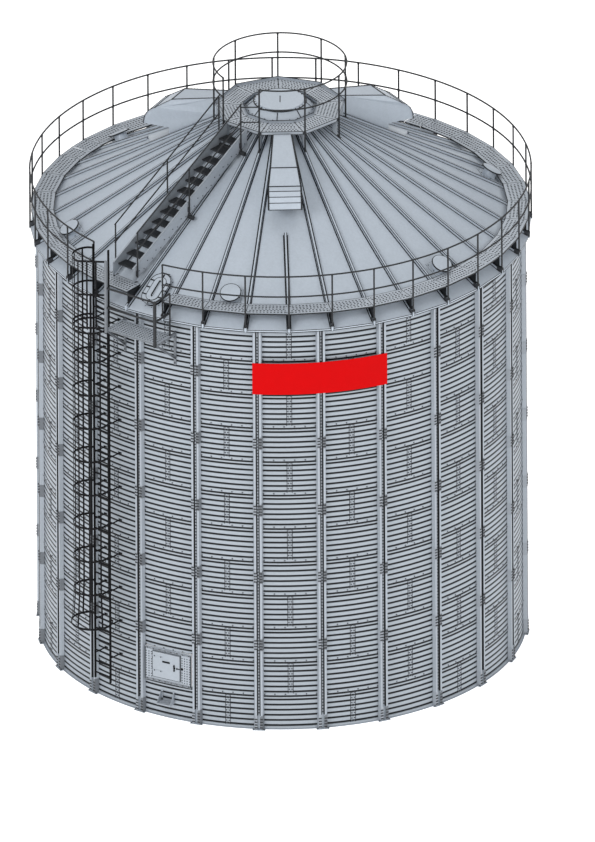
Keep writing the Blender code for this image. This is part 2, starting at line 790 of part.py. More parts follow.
def make_stairs(material):
    """Stair up the roof: two stringers and their treads."""
    frame = facing(STAIR_ANGLE)
    turn = radians(PLATFORM_FIRST - PLATFORM_STEP / 2.0 - STAIR_ANGLE)
    edge = PLATFORM_R * cos(radians(PLATFORM_STEP / 2.0)) + GAP
    end = (edge + STAIR_HALF * sin(turn)) / cos(turn)
    high = FIRST_NOSE_N - (STRINGER_TOP_Z - STRINGER_ABOVE - FIRST_TREAD_Z) * TREAD_RUN / TREAD_RISE
    heel = FIRST_NOSE_N + (FIRST_TREAD_Z - STRINGER_BELOW - DECK_TOP - GAP) * TREAD_RUN / TREAD_RISE
    outline = [(end, nose_z(end) - STRINGER_BELOW), (heel, DECK_TOP + GAP),
               (STRINGER_FOOT_N, DECK_TOP + GAP),
               (STRINGER_FOOT_N, nose_z(STRINGER_FOOT_N) + STRINGER_ABOVE),
               (high, STRINGER_TOP_Z), (end, STRINGER_TOP_Z)]
    shapes = [plate(outline, STAIR_HALF - STRINGER_T, STAIR_HALF, frame),
              plate(outline, -STAIR_HALF, STRINGER_T - STAIR_HALF, frame)]
    reach = STAIR_HALF - STRINGER_T / 2.0
    for number in range(TREADS):
        nose = FIRST_NOSE_N - TREAD_RUN * number
        level = FIRST_TREAD_Z + TREAD_RISE * number
        shapes.append(box((nose - TREAD_DEPTH, -reach, level - TREAD_T), (nose, reach, level), frame))
    across = Matrix.Rotation(radians(90.0), 4, "X") @ Matrix.Rotation(radians(ROOF_PITCH), 4, "Z")
    for distance in CROSS_TUBE_NS:
        middle = frame @ Matrix.Translation((distance, 0.0, cross_tube_z(distance))) @ across
        shapes.append(cylinder((0.0, 0.0, 0.0), CROSS_TUBE_R, 2.0 * CROSS_TUBE_HALF, middle,
                               CROSS_TUBE_SIDES))
    part("roof_stairs", joined(shapes), material, smooth=False)


def make_handrails(material):
    """A handrail on each side of the stair; the right one is linked to the top guard's post."""
    frame = facing(STAIR_ANGLE)
    near = Vector((RAIL_POST_NS[-1], RAIL_T, 0.0))
    turn = radians(PLATFORM_FIRST - STAIR_ANGLE)
    far = Vector((TOP_GUARD_R * cos(turn), TOP_GUARD_R * sin(turn), 0.0))
    far -= (far - near).normalized() * TUBE_R
    ends = (RAIL_POST_NS[0] + RAIL_OVERHANG, RAIL_POST_NS[-1] - RAIL_OVERHANG)
    for name, side in (("stair_handrail_left", -1.0), ("stair_handrail_right", 1.0)):
        offset = side * RAIL_T
        shapes = [tube([(n, offset, nose_z(n) + above) for n in ends], RAIL_TUBE_R, frame)
                  for above in (RAIL_ABOVE, RAIL_MIDDLE_ABOVE)]
        for distance in RAIL_POST_NS:
            level = nose_z(distance)
            low = level - RAIL_POST_LOW
            if distance in CROSS_TUBE_NS:
                low = cross_tube_z(distance) + CROSS_TUBE_R + GAP
            shapes.append(post(distance, offset, low, level + RAIL_ABOVE, RAIL_POST_R, frame))
            seat = sorted((side * (STAIR_HALF + GAP), side * (RAIL_T + SINK)))
            shapes.append(box((distance - RAIL_SEAT_HALF, seat[0], level - RAIL_SEAT_LOW),
                              (distance + RAIL_SEAT_HALF, seat[1], level + RAIL_SEAT_HIGH), frame))
        if side > 0.0:
            shapes += [tube([near + Vector((0.0, 0.0, z)), far + Vector((0.0, 0.0, z))],
                            RAIL_TUBE_R, frame) for z in LINK_LEVELS]
        part(name, joined(shapes), material)


def facet_middle(angle):
    """Angle of the middle of the wall's flat face at an angle round the axis."""
    return (floor(angle / WALL_FACET) + 0.5) * WALL_FACET


def wall_reach(angle, base):
    """How far out the wall's face lies at an angle, measured along the angle of a frame."""
    reach = STIFFENER_BACK / cos(radians(angle - facet_middle(angle)))
    return reach * cos(radians(angle - base))


def foot_on_wall(angle, half, thickness, low, high):
    """An upright plate that lies flat on the wall at an angle."""
    middle = facet_middle(angle)
    offset = STIFFENER_BACK * tan(radians(angle - middle))
    return box((STIFFENER_BACK, offset - half, low),
               (STIFFENER_BACK + thickness, offset + half, high), facing(middle))


def make_ladder(material):
    """Ladder with its rungs and the struts that hold its rails off the wall."""
    frame = facing(LADDER_ANGLE)
    near, far = LADDER_N - LADDER_RAIL_DEPTH, LADDER_N + LADDER_RAIL_DEPTH
    rails = (LADDER_MIDDLE_T - LADDER_HALF, LADDER_MIDDLE_T + LADDER_HALF)
    shapes = []
    for t in rails:
        shapes.append(box((near, t - LADDER_RAIL_HALF, LADDER_LOW),
                          (far, t + LADDER_RAIL_HALF, LADDER_HIGH), frame))
        angle = LADDER_ANGLE + degrees(atan(t / WALL_R))
        start = wall_reach(angle, LADDER_ANGLE) + STRUT_FOOT_T / 2.0
        for number in range(STRUTS):
            low = STRUT_FIRST + RING_H * number - STRUT_H / 2.0
            shapes.append(foot_on_wall(angle, STRUT_FOOT_HALF, STRUT_FOOT_T, low, low + STRUT_H))
            shapes.append(box((start, t - STRUT_HALF, low + SINK),
                              (LADDER_N - SINK, t + STRUT_HALF, low + STRUT_H - SINK), frame))
    level = RUNG_FIRST
    while level <= RUNG_LAST:
        shapes.append(box((LADDER_N - RUNG_HALF, rails[0], level - RUNG_HALF),
                          (LADDER_N + RUNG_HALF, rails[1], level + RUNG_HALF), frame))
        level += RUNG_PITCH
    part("ladder", joined(shapes), material, smooth=False)


def cage_point(angle, reach):
    """A point of the cage's plan at an angle from straight out."""
    return (CAGE_N + reach * cos(radians(angle)), LADDER_MIDDLE_T + reach * sin(radians(angle)))


def band(outer, inner, level, frame):
    """A flat band of the cage between two lines of its plan."""
    return column(outer + inner[::-1], level - BAND_H / 2.0, level + BAND_H / 2.0, frame)


def make_cage(material):
    """Safety cage: bands and flat bars round the ladder, wider at the foot, open at the deck."""
    frame = facing(LADDER_ANGLE)
    front = LADDER_N + LADDER_RAIL_DEPTH + GAP
    left, right = LADDER_MIDDLE_T - LADDER_HALF, LADDER_MIDDLE_T + LADDER_HALF
    knots = [CAGE_STEP * (number - (CAGE_SIDES - 1) / 2.0) for number in range(CAGE_SIDES)]
    flat = CAGE_R * cos(radians(CAGE_STEP / 2.0))
    flared = (CAGE_R + CAGE_FLARE) * cos(radians(CAGE_STEP / 2.0))
    edges = ((0.0, BAND_END), (BAND_T, -BAND_END))
    closed = [CAGE_FIRST + CAGE_PITCH * number for number in range(CLOSED_BANDS)]
    opened = [closed[-1] + CAGE_PITCH * (number + 1) for number in range(OPEN_BANDS)]
    shapes = []
    for level in (*closed, CAGE_LAST_CLOSED):
        reach = CAGE_R + (CAGE_FLARE if level == CAGE_FIRST else 0.0)
        lines = [[(front, left - end), *(cage_point(angle, reach - inset) for angle in knots),
                  (front, right + end)] for inset, end in edges]
        shapes.append(band(*lines, level, frame))

    turned = frame.inverted() @ facing(REST_ANGLE)
    corner = Vector((*cage_point(0.0, flat), 0.0))
    tip = turned @ Vector((REST_POST_N, REST_LEFT - GAP, 0.0))
    along = turned @ Vector((1.0, 0.0, 0.0))
    for level in opened:
        lines = []
        for inset, end in edges:
            side = [cage_point(angle, CAGE_R - inset) for angle in knots[:CAGE_SIDES // 2]]
            lines.append([(front, left - end), *side, cage_point(0.0, flat - inset),
                          (tip + along * end).xy])
        shapes.append(band(*lines, level, frame))

    foot, knee = CAGE_FIRST - BAND_H / 2.0 + SHY, closed[1]
    for number in range(1 - CAGE_SIDES // 2, CAGE_SIDES // 2):
        top = (CAGE_LAST_CLOSED if number > 0 else opened[-1]) + BAND_H / 2.0 - SHY
        outline = [(flared - CAGE_BAR_OUT, foot), (flat - CAGE_BAR_OUT, knee),
                   (flat - CAGE_BAR_OUT, top), (flat - CAGE_BAR_IN, top),
                   (flat - CAGE_BAR_IN, knee), (flared - CAGE_BAR_IN, foot)]
        place = (frame @ Matrix.Translation((CAGE_N, LADDER_MIDDLE_T, 0.0))
                 @ Matrix.Rotation(radians(CAGE_STEP * number), 4, "Z"))
        shapes.append(plate(outline, -CAGE_BAR_HALF, CAGE_BAR_HALF, place))
    straight = tip - corner
    turn = Matrix.Rotation(atan2(-straight.x, straight.y), 4, "Z")
    low, high = opened[0] - BAND_H / 2.0 + SHY, opened[-1] + BAND_H / 2.0 - SHY
    for share in (1.0 / 3.0, 2.0 / 3.0):
        place = frame @ Matrix.Translation(corner + straight * share) @ turn
        shapes.append(box((-CAGE_BAR_IN, -CAGE_BAR_HALF, low), (-CAGE_BAR_OUT, CAGE_BAR_HALF, high),
                          place))
    part("ladder_cage", joined(shapes), material, smooth=False)


def make_rest_platform(deck_steel, rail_steel):
    """Small platform beside the ladder on two open brackets, its guard, and the tall corner post."""
    frame = facing(REST_ANGLE)
    seat = STIFFENER_BACK + STIFFENER_DEPTH + GAP
    low = REST_TOP - REST_T
    under = REST_TOP - REST_CHANNEL_H
    tip = REST_OUT_N - SINK
    shapes = [box((seat, REST_LEFT, low), (REST_OUT_N, REST_RIGHT, REST_TOP), frame)]
    for t in (REST_LEFT + REST_BAR_HALF, REST_RIGHT - REST_BAR_HALF):
        angle = REST_ANGLE + degrees(atan(t / WALL_R))
        start = wall_reach(angle, REST_ANGLE) + REST_BAR_T / 2.0
        slant = REST_STRUT_H * (tip - start) / (under - REST_STRUT_LOW)
        strut = [(start, REST_STRUT_LOW), (tip, under + SINK), (tip - slant, under + SINK),
                 (start, REST_STRUT_LOW + REST_STRUT_H)]
        shapes.append(foot_on_wall(angle, REST_BAR_HALF, REST_BAR_T, REST_BAR_LOW, REST_TOP))
        shapes.append(box((start, t - REST_CHANNEL_HALF, under),
                          (tip, t + REST_CHANNEL_HALF, REST_TOP - SHY), frame))
        shapes.append(plate(strut, t - REST_STRUT_HALF, t + REST_STRUT_HALF, frame))
    part("rest_platform", joined(shapes), deck_steel, smooth=False)

    left, right = REST_LEFT + REST_POST_HALF, REST_RIGHT - REST_POST_HALF
    line = ((REST_POST_N, left), (REST_POST_N, right), (REST_INNER_POST_N, right))
    shapes = [tube([(n, t, level) for n, t in line], REST_RAIL_R, frame)
              for level in (REST_RAIL_TOP, REST_RAIL_MIDDLE)]
    for t, top in ((left, REST_POST_TOP), (right, REST_RAIL_TOP + REST_POST_HALF)):
        shapes.append(box((REST_POST_N - REST_POST_HALF, t - REST_POST_HALF, under),
                          (REST_POST_N + REST_POST_HALF, t + REST_POST_HALF, top), frame))
    shapes.append(post(REST_INNER_POST_N, right, REST_TOP + GAP, REST_RAIL_TOP,
                       REST_INNER_POST_R, frame))
    part("rest_platform_guard", joined(shapes), rail_steel)


def make_door(frame_steel, leaf_steel):
    """Door frame in the second ring, and the leaf that swings out on two hinges."""
    frame = facing(0.0)
    ring_part = sector(sheet(DOOR_LOW, DOOR_HIGH), -FIRST_SEAM, FIRST_SEAM, WALL_FACET)
    face = box((FRAME_BACK, -FRAME_HALF, DOOR_LOW), (FRAME_FACE, FRAME_HALF, DOOR_HIGH), frame)
    inset = OPENING_INSET
    opening = box((FRAME_BACK - CUT_REACH, LEAF_LEFT + inset, LEAF_LOW + inset),
                  (FRAME_FACE + CUT_REACH, LEAF_RIGHT - inset, LEAF_HIGH - inset), frame)
    body = cut(joined([ring_part, face]), [opening])
    fixed = [body]
    for level in HINGE_LEVELS:
        middle = level + KNUCKLE_H / 2.0
        fixed.append(cylinder((HINGE_R, HINGE_T, middle), KNUCKLE_R, KNUCKLE_H, frame, PIN_SIDES))
        fixed.append(box((FRAME_FACE - SINK, HINGE_T - KNUCKLE_R - LUG_BACK, level + SINK),
                         (HINGE_R, HINGE_T - SHY, level + KNUCKLE_H - SINK), frame))
    part("door_frame", joined(fixed), frame_steel, smooth=False)

    back = FRAME_FACE + LEAF_CLEAR
    moving = [box((back, LEAF_LEFT, LEAF_LOW), (back + LEAF_T, LEAF_RIGHT, LEAF_HIGH), frame)]
    for level in HINGE_LEVELS:
        low = level + KNUCKLE_H + GAP
        middle = low + KNUCKLE_H / 2.0
        moving.append(cylinder((HINGE_R, HINGE_T, middle), KNUCKLE_R, KNUCKLE_H, frame, PIN_SIDES))
        moving.append(box((HINGE_R - LUG_HALF, HINGE_T, middle - STRAP_H / 2.0),
                          (HINGE_R + LUG_HALF, LEAF_LEFT + SINK, middle + STRAP_H / 2.0), frame))
        moving.append(box((back + LEAF_T - SHY, LEAF_LEFT + STRAP_START, middle - STRAP_H / 2.0),
                          (back + LEAF_T + STRAP_T, LEAF_LEFT + STRAP_LENGTH,
                           middle + STRAP_H / 2.0), frame))
    middle_z = (LEAF_LOW + LEAF_HIGH) / 2.0
    latch_right = LEAF_RIGHT - LATCH_RIGHT
    latch = box((back + LEAF_T - SHY, latch_right - LATCH_W, middle_z - LATCH_HALF_H),
                (back + LEAF_T + LATCH_T, latch_right, middle_z + LATCH_HALF_H), frame)
    leaf = part("door_leaf", joined(moving + [latch]), leaf_steel, smooth=False)
    axis = frame @ Vector((HINGE_R, HINGE_T, LEAF_LOW))
    leaf.data.transform(Matrix.Translation(-axis))
    leaf.location = axis


def make_step(material):
    """Step under the door: a tread between two three-cornered cheeks on a wall plate."""
    frame = facing(0.0)
    back = WALL_R + GAP
    low = STEP_Z - STEP_H
    cheek = [(back, low), (back + STEP_DEPTH, low), (back + STEP_DEPTH, STEP_Z),
             (back, STEP_CHEEK_HIGH)]
    inside = STEP_T / 2.0
    shapes = [plate(cheek, STEP_LEFT, STEP_LEFT + STEP_T, frame),
              plate(cheek, STEP_RIGHT - STEP_T, STEP_RIGHT, frame),
              box((back, STEP_LEFT + inside, low + SHY),
                  (back + inside, STEP_RIGHT - inside, STEP_Z + STEP_H), frame),
              box((back + inside / 2.0, STEP_LEFT + inside, low + SINK),
                  (back + STEP_DEPTH - inside, STEP_RIGHT - inside, STEP_Z - SHY), frame)]
    part("door_step", joined(shapes), material, smooth=False)


def make_panel(material):
    """Plain panel bent round three stiffeners."""
    inner = (STIFFENER_BACK + STIFFENER_DEPTH + GAP) / cos(radians(WALL_FACET / 2.0))
    outline = [(inner, PANEL_LOW), (inner + PANEL_T, PANEL_LOW), (inner + PANEL_T, PANEL_HIGH),
               (inner, PANEL_HIGH)]
    part("plain_panel", sector(outline, PANEL_FROM, PANEL_TO, WALL_FACET), material)


clear_scene()
PARTS = collection("Grain silo")
WORKBENCH = collection("Workbench")

wall_steel = paint("wall steel", WALL_STEEL)
roof_steel = paint("roof steel", ROOF_STEEL)
frame_steel = paint("frame steel", FRAME_STEEL)
grate_steel = paint("grating", GRATE_STEEL)
dark_steel = paint("dark steel", DARK_STEEL)
red = paint("red panel", PANEL_RED)

make_wall(wall_steel)
make_stiffeners(frame_steel)
make_roof(roof_steel)
make_crown(roof_steel, frame_steel)
make_walkway(grate_steel)
make_eave_guard(frame_steel)
make_top_platform(grate_steel, frame_steel)
make_hoods(roof_steel)
make_vents(frame_steel)
make_hatch(roof_steel)
make_stairs(grate_steel)
make_handrails(frame_steel)
make_ladder(dark_steel)
make_cage(dark_steel)
make_rest_platform(grate_steel, frame_steel)
make_door(frame_steel, roof_steel)
make_step(grate_steel)
make_panel(red)
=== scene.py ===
"""Looks of a bolted steel grain silo: corrugated wall, ribbed roof, walkways, stair and ladder.

Angles are in degrees round the silo's axis, 0 at the door bay, which faces -Y, and growing
towards +X. In a local frame at such an angle x points outward, y along the wall the way the angle
grows, and z up. Lengths are in metres. GAP and OVER keep neighbouring faces apart.
"""

from math import asin, atan, atan2, ceil, cos, degrees, floor, pi, radians, sin, sqrt, tan

import bmesh
import bpy
from mathutils import Matrix, Vector


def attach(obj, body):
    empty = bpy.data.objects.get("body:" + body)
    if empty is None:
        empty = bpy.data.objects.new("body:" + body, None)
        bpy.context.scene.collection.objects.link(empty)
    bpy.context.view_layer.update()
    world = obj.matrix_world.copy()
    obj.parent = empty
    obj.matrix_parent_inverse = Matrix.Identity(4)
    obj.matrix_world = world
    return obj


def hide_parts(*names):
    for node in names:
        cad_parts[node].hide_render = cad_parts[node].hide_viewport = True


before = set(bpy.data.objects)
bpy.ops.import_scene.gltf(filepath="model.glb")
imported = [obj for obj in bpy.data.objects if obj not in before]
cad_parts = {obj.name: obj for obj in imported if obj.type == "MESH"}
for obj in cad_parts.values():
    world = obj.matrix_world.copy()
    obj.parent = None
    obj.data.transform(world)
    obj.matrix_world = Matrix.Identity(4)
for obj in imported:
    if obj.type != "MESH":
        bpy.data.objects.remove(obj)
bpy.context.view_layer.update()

STRUCTURE = "structure"
DOOR = "door"
SIDES = (-1.0, 1.0)
GAP = 0.0003
OVER = 0.0005

# Wall
WALL_R = 5.50
RINGS = 12
RING_H = 0.845
BAY = 15.0
GROOVES = 6
GROOVE_FIRST = 0.110
GROOVE_PITCH = 0.129
GROOVE_HALF = 0.042
GROOVE_SHARES = (1.0, 0.55, 0.2, -0.2, -0.55, -1.0)
GROOVE_DEPTH = 0.0125
LAP_STEP = 0.0025
LIP_TOP = 0.800
SHEET_T = 0.002
SHEET_FACET = 2.5
SEAM_HALF = 0.052
SEAM_BOLTS = 12
LAP_BOLT_UP = 0.025
WALL_TOP = 10.230

# Roof
ROOF_FACET = 10.0
PITCH = radians(30.0)
SLOPE = tan(PITCH)
EAVE_R = 5.69
EAVE_Z = 10.15
EAVE_LIP = 0.06
EAVE_HEM = 0.018
ROOF_SHEET_T = 0.004
RIB_HALF = 0.030
RIB_RISE = 0.060 / cos(PITCH)
RIB_LOW_R, RIB_SHORT_R, RIB_HIGH_R = 0.95, 3.42, 5.700
TIP_R = 5.722
CROWN_R = 0.66

# Stiffeners
FIRST_STIFFENER = 7.5
FOOT_R = 5.502
STIFFENER_BACK = (WALL_R + GAP) * cos(radians(2.5))
STIFFENER_FACE = STIFFENER_BACK + 0.100
STIFFENER_VALLEY = STIFFENER_BACK + 0.060
STIFFENER_TOP = 10.12
SPLICES = (2.15, 3.85, 5.55, 7.24, 8.94)
SPLICE_H = 0.30
FOOT_SPLICE = (0.016, 0.36)
VALLEY_BOLT_PITCH = 0.079
PANEL_FROM, PANEL_TO = 21.4, 53.6
PANEL_LOW, PANEL_HIGH = 8.49, 9.275

# Walkway and guards
DECK_TOP = 10.556
DECK_T = 0.028
DECK_IN = 5.16
DECK_OUT = 5.674
GUARD_R = 5.70
GUARD_TOP = 11.515
GUARD_MIDDLE = 11.010
TOP_GUARD_R = 1.520
TOP_GUARD_TOP = 14.177
TOP_GUARD_MIDDLE = 13.69
PLATFORM_R = 1.495
PLATFORM_HOLE_R = 0.86
PLATFORM_TOP = 13.10
PLATFORM_T = 0.088
PLATFORM_SIDES = 9
PLATFORM_FIRST = 10.0
PLATFORM_STEP = 40.0
HOLE_BORDER = 0.022
HOLE_SIDES = 8
COLLAR_DEEP = 0.020
COLLAR_LIP = 0.0025

# Hoods and stair
HOOD_WIDTHS = ((1.43, 0.205), (2.62, 0.305), (3.00, 0.365), (3.40, 0.370))
HOOD_BACK_R, HOOD_THROAT_R, HOOD_LIP_Z = 1.44, 2.70, 12.05
STAIR_ANGLE = -15.0
STAIR_HALF = 0.315
STEPS = 13
STEP_RUN, STEP_RISE = 0.280, 0.162
STAIR_FOOT_R, STAIR_FOOT_Z = 5.09, 10.83
STRINGER_R, STRINGER_TOP, STRINGER_UP, STRINGER_DOWN = 5.24, 13.09, 0.17, 0.20
CROSS_TUBES = (3.39, 1.67)

# Ladder, cage and rest platform
LADDER_ANGLE = -15.0
LADDER_N, LADDER_MIDDLE_T, LADDER_HALF = 5.85, -0.12, 0.235
LADDER_DEPTH = 0.025
RAIL_HALF = 0.0125
LADDER_LOW, LADDER_HIGH = 0.615, 11.56
RUNG_FIRST, RUNG_PITCH, RUNG_LAST, RUNG_HALF = 0.76, 0.28, 10.50, 0.0145
STRUTS, STRUT_FIRST, STRUT_H = 11, 1.24, 0.040
CAGE_N, CAGE_R, CAGE_FLARE = 6.20, 0.42, 0.06
CAGE_STEP, CAGE_FINE = 37.0, 9.25
CAGE_FIRST, CAGE_PITCH, CAGE_LAST_CLOSED = 2.24, 0.84, 9.70
BAND_H, BAND_T, CAGE_BAR_HALF = 0.050, 0.007, 0.020
REST_ANGLE = -7.5
REST_LEFT, REST_RIGHT, REST_OUT, REST_TOP = -0.45, 0.97, 6.20, 9.78
REST_CHANNEL_H, REST_BAR_HALF, REST_POST_HALF = 0.080, 0.0285, 0.030
REST_STRUT_LOW = 9.09
REST_POST_N = REST_OUT + GAP + REST_POST_HALF
REST_INNER_N = 5.64
REST_RAILS = (10.83, 10.34)

# Door
DOOR_LEFT, DOOR_RIGHT, DOOR_LOW, DOOR_HIGH = -0.389, 0.320, 0.965, 1.615
DOOR_BACK, DOOR_FACE, LEAF_BACK = 5.455, 5.525, 5.531
PIN_X, PIN_Y = 5.544, -0.405
HINGES = (1.06, 1.42)


def facing(angle):
    """Frame whose x is outward, whose y is along the wall and whose z is up, at an angle."""
    return Matrix.Rotation(radians(angle - 90.0), 4, "Z")


def shift(x, y, z):
    """A frame moved without a turn."""
    return Matrix.Translation((x, y, z))


def turned(angle, axis):
    """A frame turned by degrees round one of its axes."""
    return Matrix.Rotation(radians(angle), 4, axis)


def at(angle, x, y, z):
    """A frame at a place in the local frame at an angle, z up."""
    return facing(angle) @ shift(x, y, z)


def outward(matrix):
    """A frame whose z axis is another frame's x axis."""
    return matrix @ turned(90.0, "Y")


def roof_z(radius):
    """Height of the roof's top surface on a rib line."""
    return EAVE_Z + (EAVE_R - radius) * SLOPE


def rib_top(radius):
    """Height of the top of a rib."""
    return roof_z(radius) + RIB_RISE


def strip(height, near, far, low, high):
    """An (x, z) outline that follows a height from near to far, between two offsets from it."""
    return [(near, height(near) + low), (far, height(far) + low), (far, height(far) + high),
            (near, height(near) + high)]


def span(side, first, second):
    """Two distances to one side, in rising order."""
    return sorted((side * first, side * second))


def every(pitch, first, last):
    """Values a pitch apart, from the first to just under the last."""
    return [first + pitch * k for k in range(ceil((last - first) / pitch))]


# Materials

class Paint:
    """A Principled material under construction; its patterns read Object coordinates."""

    def __init__(self, name, metallic, roughness, gloss=0.5):
        self.material = bpy.data.materials.new(name)
        self.material.use_nodes = True
        self.tree = self.material.node_tree
        self.shader = self.tree.nodes["Principled BSDF"]
        for socket, value in (("Metallic", metallic), ("Roughness", roughness),
                              ("Specular IOR Level", gloss)):
            self.shader.inputs[socket].default_value = value
        self.place = self.node("ShaderNodeTexCoord").outputs["Object"]

    def node(self, kind, **inputs):
        """A node with its inputs set or linked."""
        made = self.tree.nodes.new(kind)
        for name, value in inputs.items():
            self.put(made.inputs[name], value)
        return made

    def put(self, socket, value):
        """Link an output to a socket, or set the socket's value."""
        if isinstance(value, bpy.types.NodeSocket):
            self.tree.links.new(value, socket)
        else:
            socket.default_value = value

    def calc(self, operation, *values):
        """A math node's output."""
        made = self.node("ShaderNodeMath")
        made.operation = operation
        for socket, value in zip(made.inputs, values):
            self.put(socket, value)
        return made.outputs[0]

    def noise(self, scale, detail, stretch=(1.0, 1.0, 1.0)):
        """Noise, stretched along an axis."""
        mapping = self.node("ShaderNodeMapping", Vector=self.place, Scale=stretch)
        return self.node("ShaderNodeTexNoise", Vector=mapping.outputs["Vector"], Scale=scale,
                         Detail=detail).outputs["Fac"]

    def mix(self, factor, first, second, kind="MIX"):
        """Two colours mixed, or multiplied."""
        made = self.tree.nodes.new("ShaderNodeMix")
        made.data_type = "RGBA"
        made.blend_type = kind
        for name, value in (("Factor", factor), ("A", first), ("B", second)):
            self.put(made.inputs[name], value)
        return made.outputs["Result"]

    def tint(self, factor, colour, dark, light):
        """A colour that runs from a darker to a lighter share of itself with a factor."""
        return self.mix(factor, (*[part * dark for part in colour], 1.0),
                        (*[min(1.0, part * light) for part in colour], 1.0))

    def ramp(self, value, start, wide):
        """0 up to a start, then rising to 1 over a width."""
        rise = self.calc("MULTIPLY_ADD", value, 1.0 / wide, -start / wide)
        return self.calc("MAXIMUM", self.calc("MINIMUM", rise, 1.0), 0.0)

    def finish(self, colour, rough, grain, distance, strength):
        """Link colour, roughness and bump; the material."""
        bump = self.node("ShaderNodeBump", Height=grain, Distance=distance, Strength=strength)
        for name, value in (("Base Color", colour), ("Roughness", rough),
                            ("Normal", bump.outputs["Normal"])):
            self.put(self.shader.inputs[name], value)
        return self.material


def groove_shade(paint):
    """Painted shade in the wall's grooves and under each ring's lap: 1 where unshaded."""
    axes = paint.node("ShaderNodeSeparateXYZ", Vector=paint.place)
    rings = paint.calc("DIVIDE", axes.outputs["Z"], RING_H)
    share = paint.calc("SUBTRACT", 1.0, paint.calc("FRACT", rings))
    below = paint.calc("MULTIPLY", share, RING_H)
    start = GROOVE_FIRST - GROOVE_PITCH / 2.0
    phase = paint.calc("MULTIPLY_ADD", below, 1.0 / GROOVE_PITCH, -start / GROOVE_PITCH)
    off = paint.calc("ABSOLUTE", paint.calc("SUBTRACT", paint.calc("FRACT", phase), 0.5))
    # painted shade: a dark band along the middle of each groove
    groove = paint.ramp(paint.calc("MULTIPLY", off, GROOVE_PITCH), 0.018, 0.012)
    high = paint.calc("LESS_THAN", below, start)
    low = paint.calc("GREATER_THAN", below, start + GROOVE_PITCH * GROOVES)
    unshaded = paint.calc("MAXIMUM", groove, paint.calc("MAXIMUM", high, low))
    # painted shade: a dark band just under each ring's top, at the lap
    both = paint.calc("MINIMUM", unshaded, paint.ramp(below, 0.042, 0.012))
    return paint.calc("MULTIPLY_ADD", both, 0.98, 0.02)


def steel(name, colour, roughness=0.42, grooves=False, spangle=34.0):
    """Galvanised steel: spangle, broad tone changes, faint rain streaks and a fine grain."""
    paint = Paint(name, 0.22, roughness, 0.2)
    flakes = paint.node("ShaderNodeTexVoronoi", Vector=paint.place, Scale=spangle)
    tone = paint.node("ShaderNodeSeparateColor", Color=flakes.outputs["Color"])
    broad = paint.noise(0.7, 2.0)
    streaks = paint.noise(3.0, 4.0, (1.6, 1.6, 0.10))
    blend = paint.calc("MULTIPLY_ADD", tone.outputs["Red"], 0.30,
                       paint.calc("MULTIPLY_ADD", broad, 0.40, paint.calc("MULTIPLY", streaks, 0.45)))
    tint = paint.tint(blend, colour, 0.888, 1.07)
    if grooves:
        # multiplies in the painted shade of the grooves and laps
        tint = paint.mix(1.0, tint, groove_shade(paint), "MULTIPLY")
    rough = paint.calc("MULTIPLY_ADD", tone.outputs["Green"], 0.10,
                       paint.calc("MULTIPLY_ADD", streaks, 0.12, roughness - 0.10))
    return paint.finish(tint, rough, paint.noise(140.0, 2.0), 0.0006, 0.25)


def coated(name, colour, roughness, wear, gloss):
    """Painted or coated metal with faint mottling and a little orange peel."""
    paint = Paint(name, 0.0, roughness, gloss)
    mottle = paint.noise(4.0, 5.0)
    tint = paint.tint(mottle, colour, 1.0 - wear, 1.0 + wear)
    rough = paint.calc("MULTIPLY_ADD", mottle, 0.16, roughness - 0.08)
    return paint.finish(tint, rough, paint.noise(220.0, 1.0), 0.0004, 0.3)


# the wall's sheets and seam strips carry painted shade in their grooves and under their laps
SHEET = steel("wall sheet", (0.345, 0.382, 0.426), grooves=True)
SEAM = steel("wall seam", (0.355, 0.393, 0.438), grooves=True)
ROOFING = steel("roof sheet", (0.455, 0.508, 0.572), spangle=26.0)
RIBBING = steel("roof rib", (0.470, 0.524, 0.590), spangle=26.0)
PROFILE = steel("stiffener steel", (0.360, 0.397, 0.442))
# SPLICE and SPLICE_PALE are the shaded and lit copies of one steel on the stiffener splices
SPLICE = steel("splice steel", (0.170, 0.185, 0.205), 0.50)
SPLICE_PALE = steel("pale splice steel", (0.330, 0.360, 0.400), 0.50)
# near black; on the roof ribs' flanges and upper sides it is painted shade
DARK_EDGE = steel("rib side", (0.018, 0.020, 0.023), 0.50, spangle=26.0)
PLANK = steel("plank steel", (0.400, 0.440, 0.490), spangle=60.0)
GRATE_AND_HOLE_SHADE = steel("tread grating and hole shade", (0.045, 0.049, 0.055), 0.55, spangle=60.0)
TUBING = steel("tube steel", (0.028, 0.030, 0.033), 0.50, spangle=50.0)
PLATED = steel("plated bolts", (0.040, 0.043, 0.048), 0.35, spangle=90.0)
BRIGHT = steel("zinc bolts", (0.070, 0.076, 0.085), 0.30, spangle=90.0)
BLACKENED = coated("dark coated steel", (0.006, 0.006, 0.007), 0.65, 0.20, 0.1)
RED = coated("red enamel", (0.520, 0.001, 0.002), 0.60, 0.05, 0.05)
# also the near-black strips in the stiffeners' valleys, which are painted shade
SEAL_AND_SHADE_STRIP = coated("seal and painted shade strip", (0.020, 0.021, 0.023), 0.70, 0.20, 0.1)


# Meshes

def written(bm, name="form"):
    """A mesh from a bmesh as it is."""
    mesh = bpy.data.meshes.new(name)
    bm.to_mesh(mesh)
    bm.free()
    return mesh


def mesh_of(bm, matrix=None):
    """A mesh from a bmesh, with its faces pointing out."""
    bmesh.ops.remove_doubles(bm, verts=bm.verts, dist=0.00002)
    bmesh.ops.recalc_face_normals(bm, faces=bm.faces)
    if matrix is not None:
        bmesh.ops.transform(bm, matrix=matrix, verts=bm.verts)
    return written(bm)


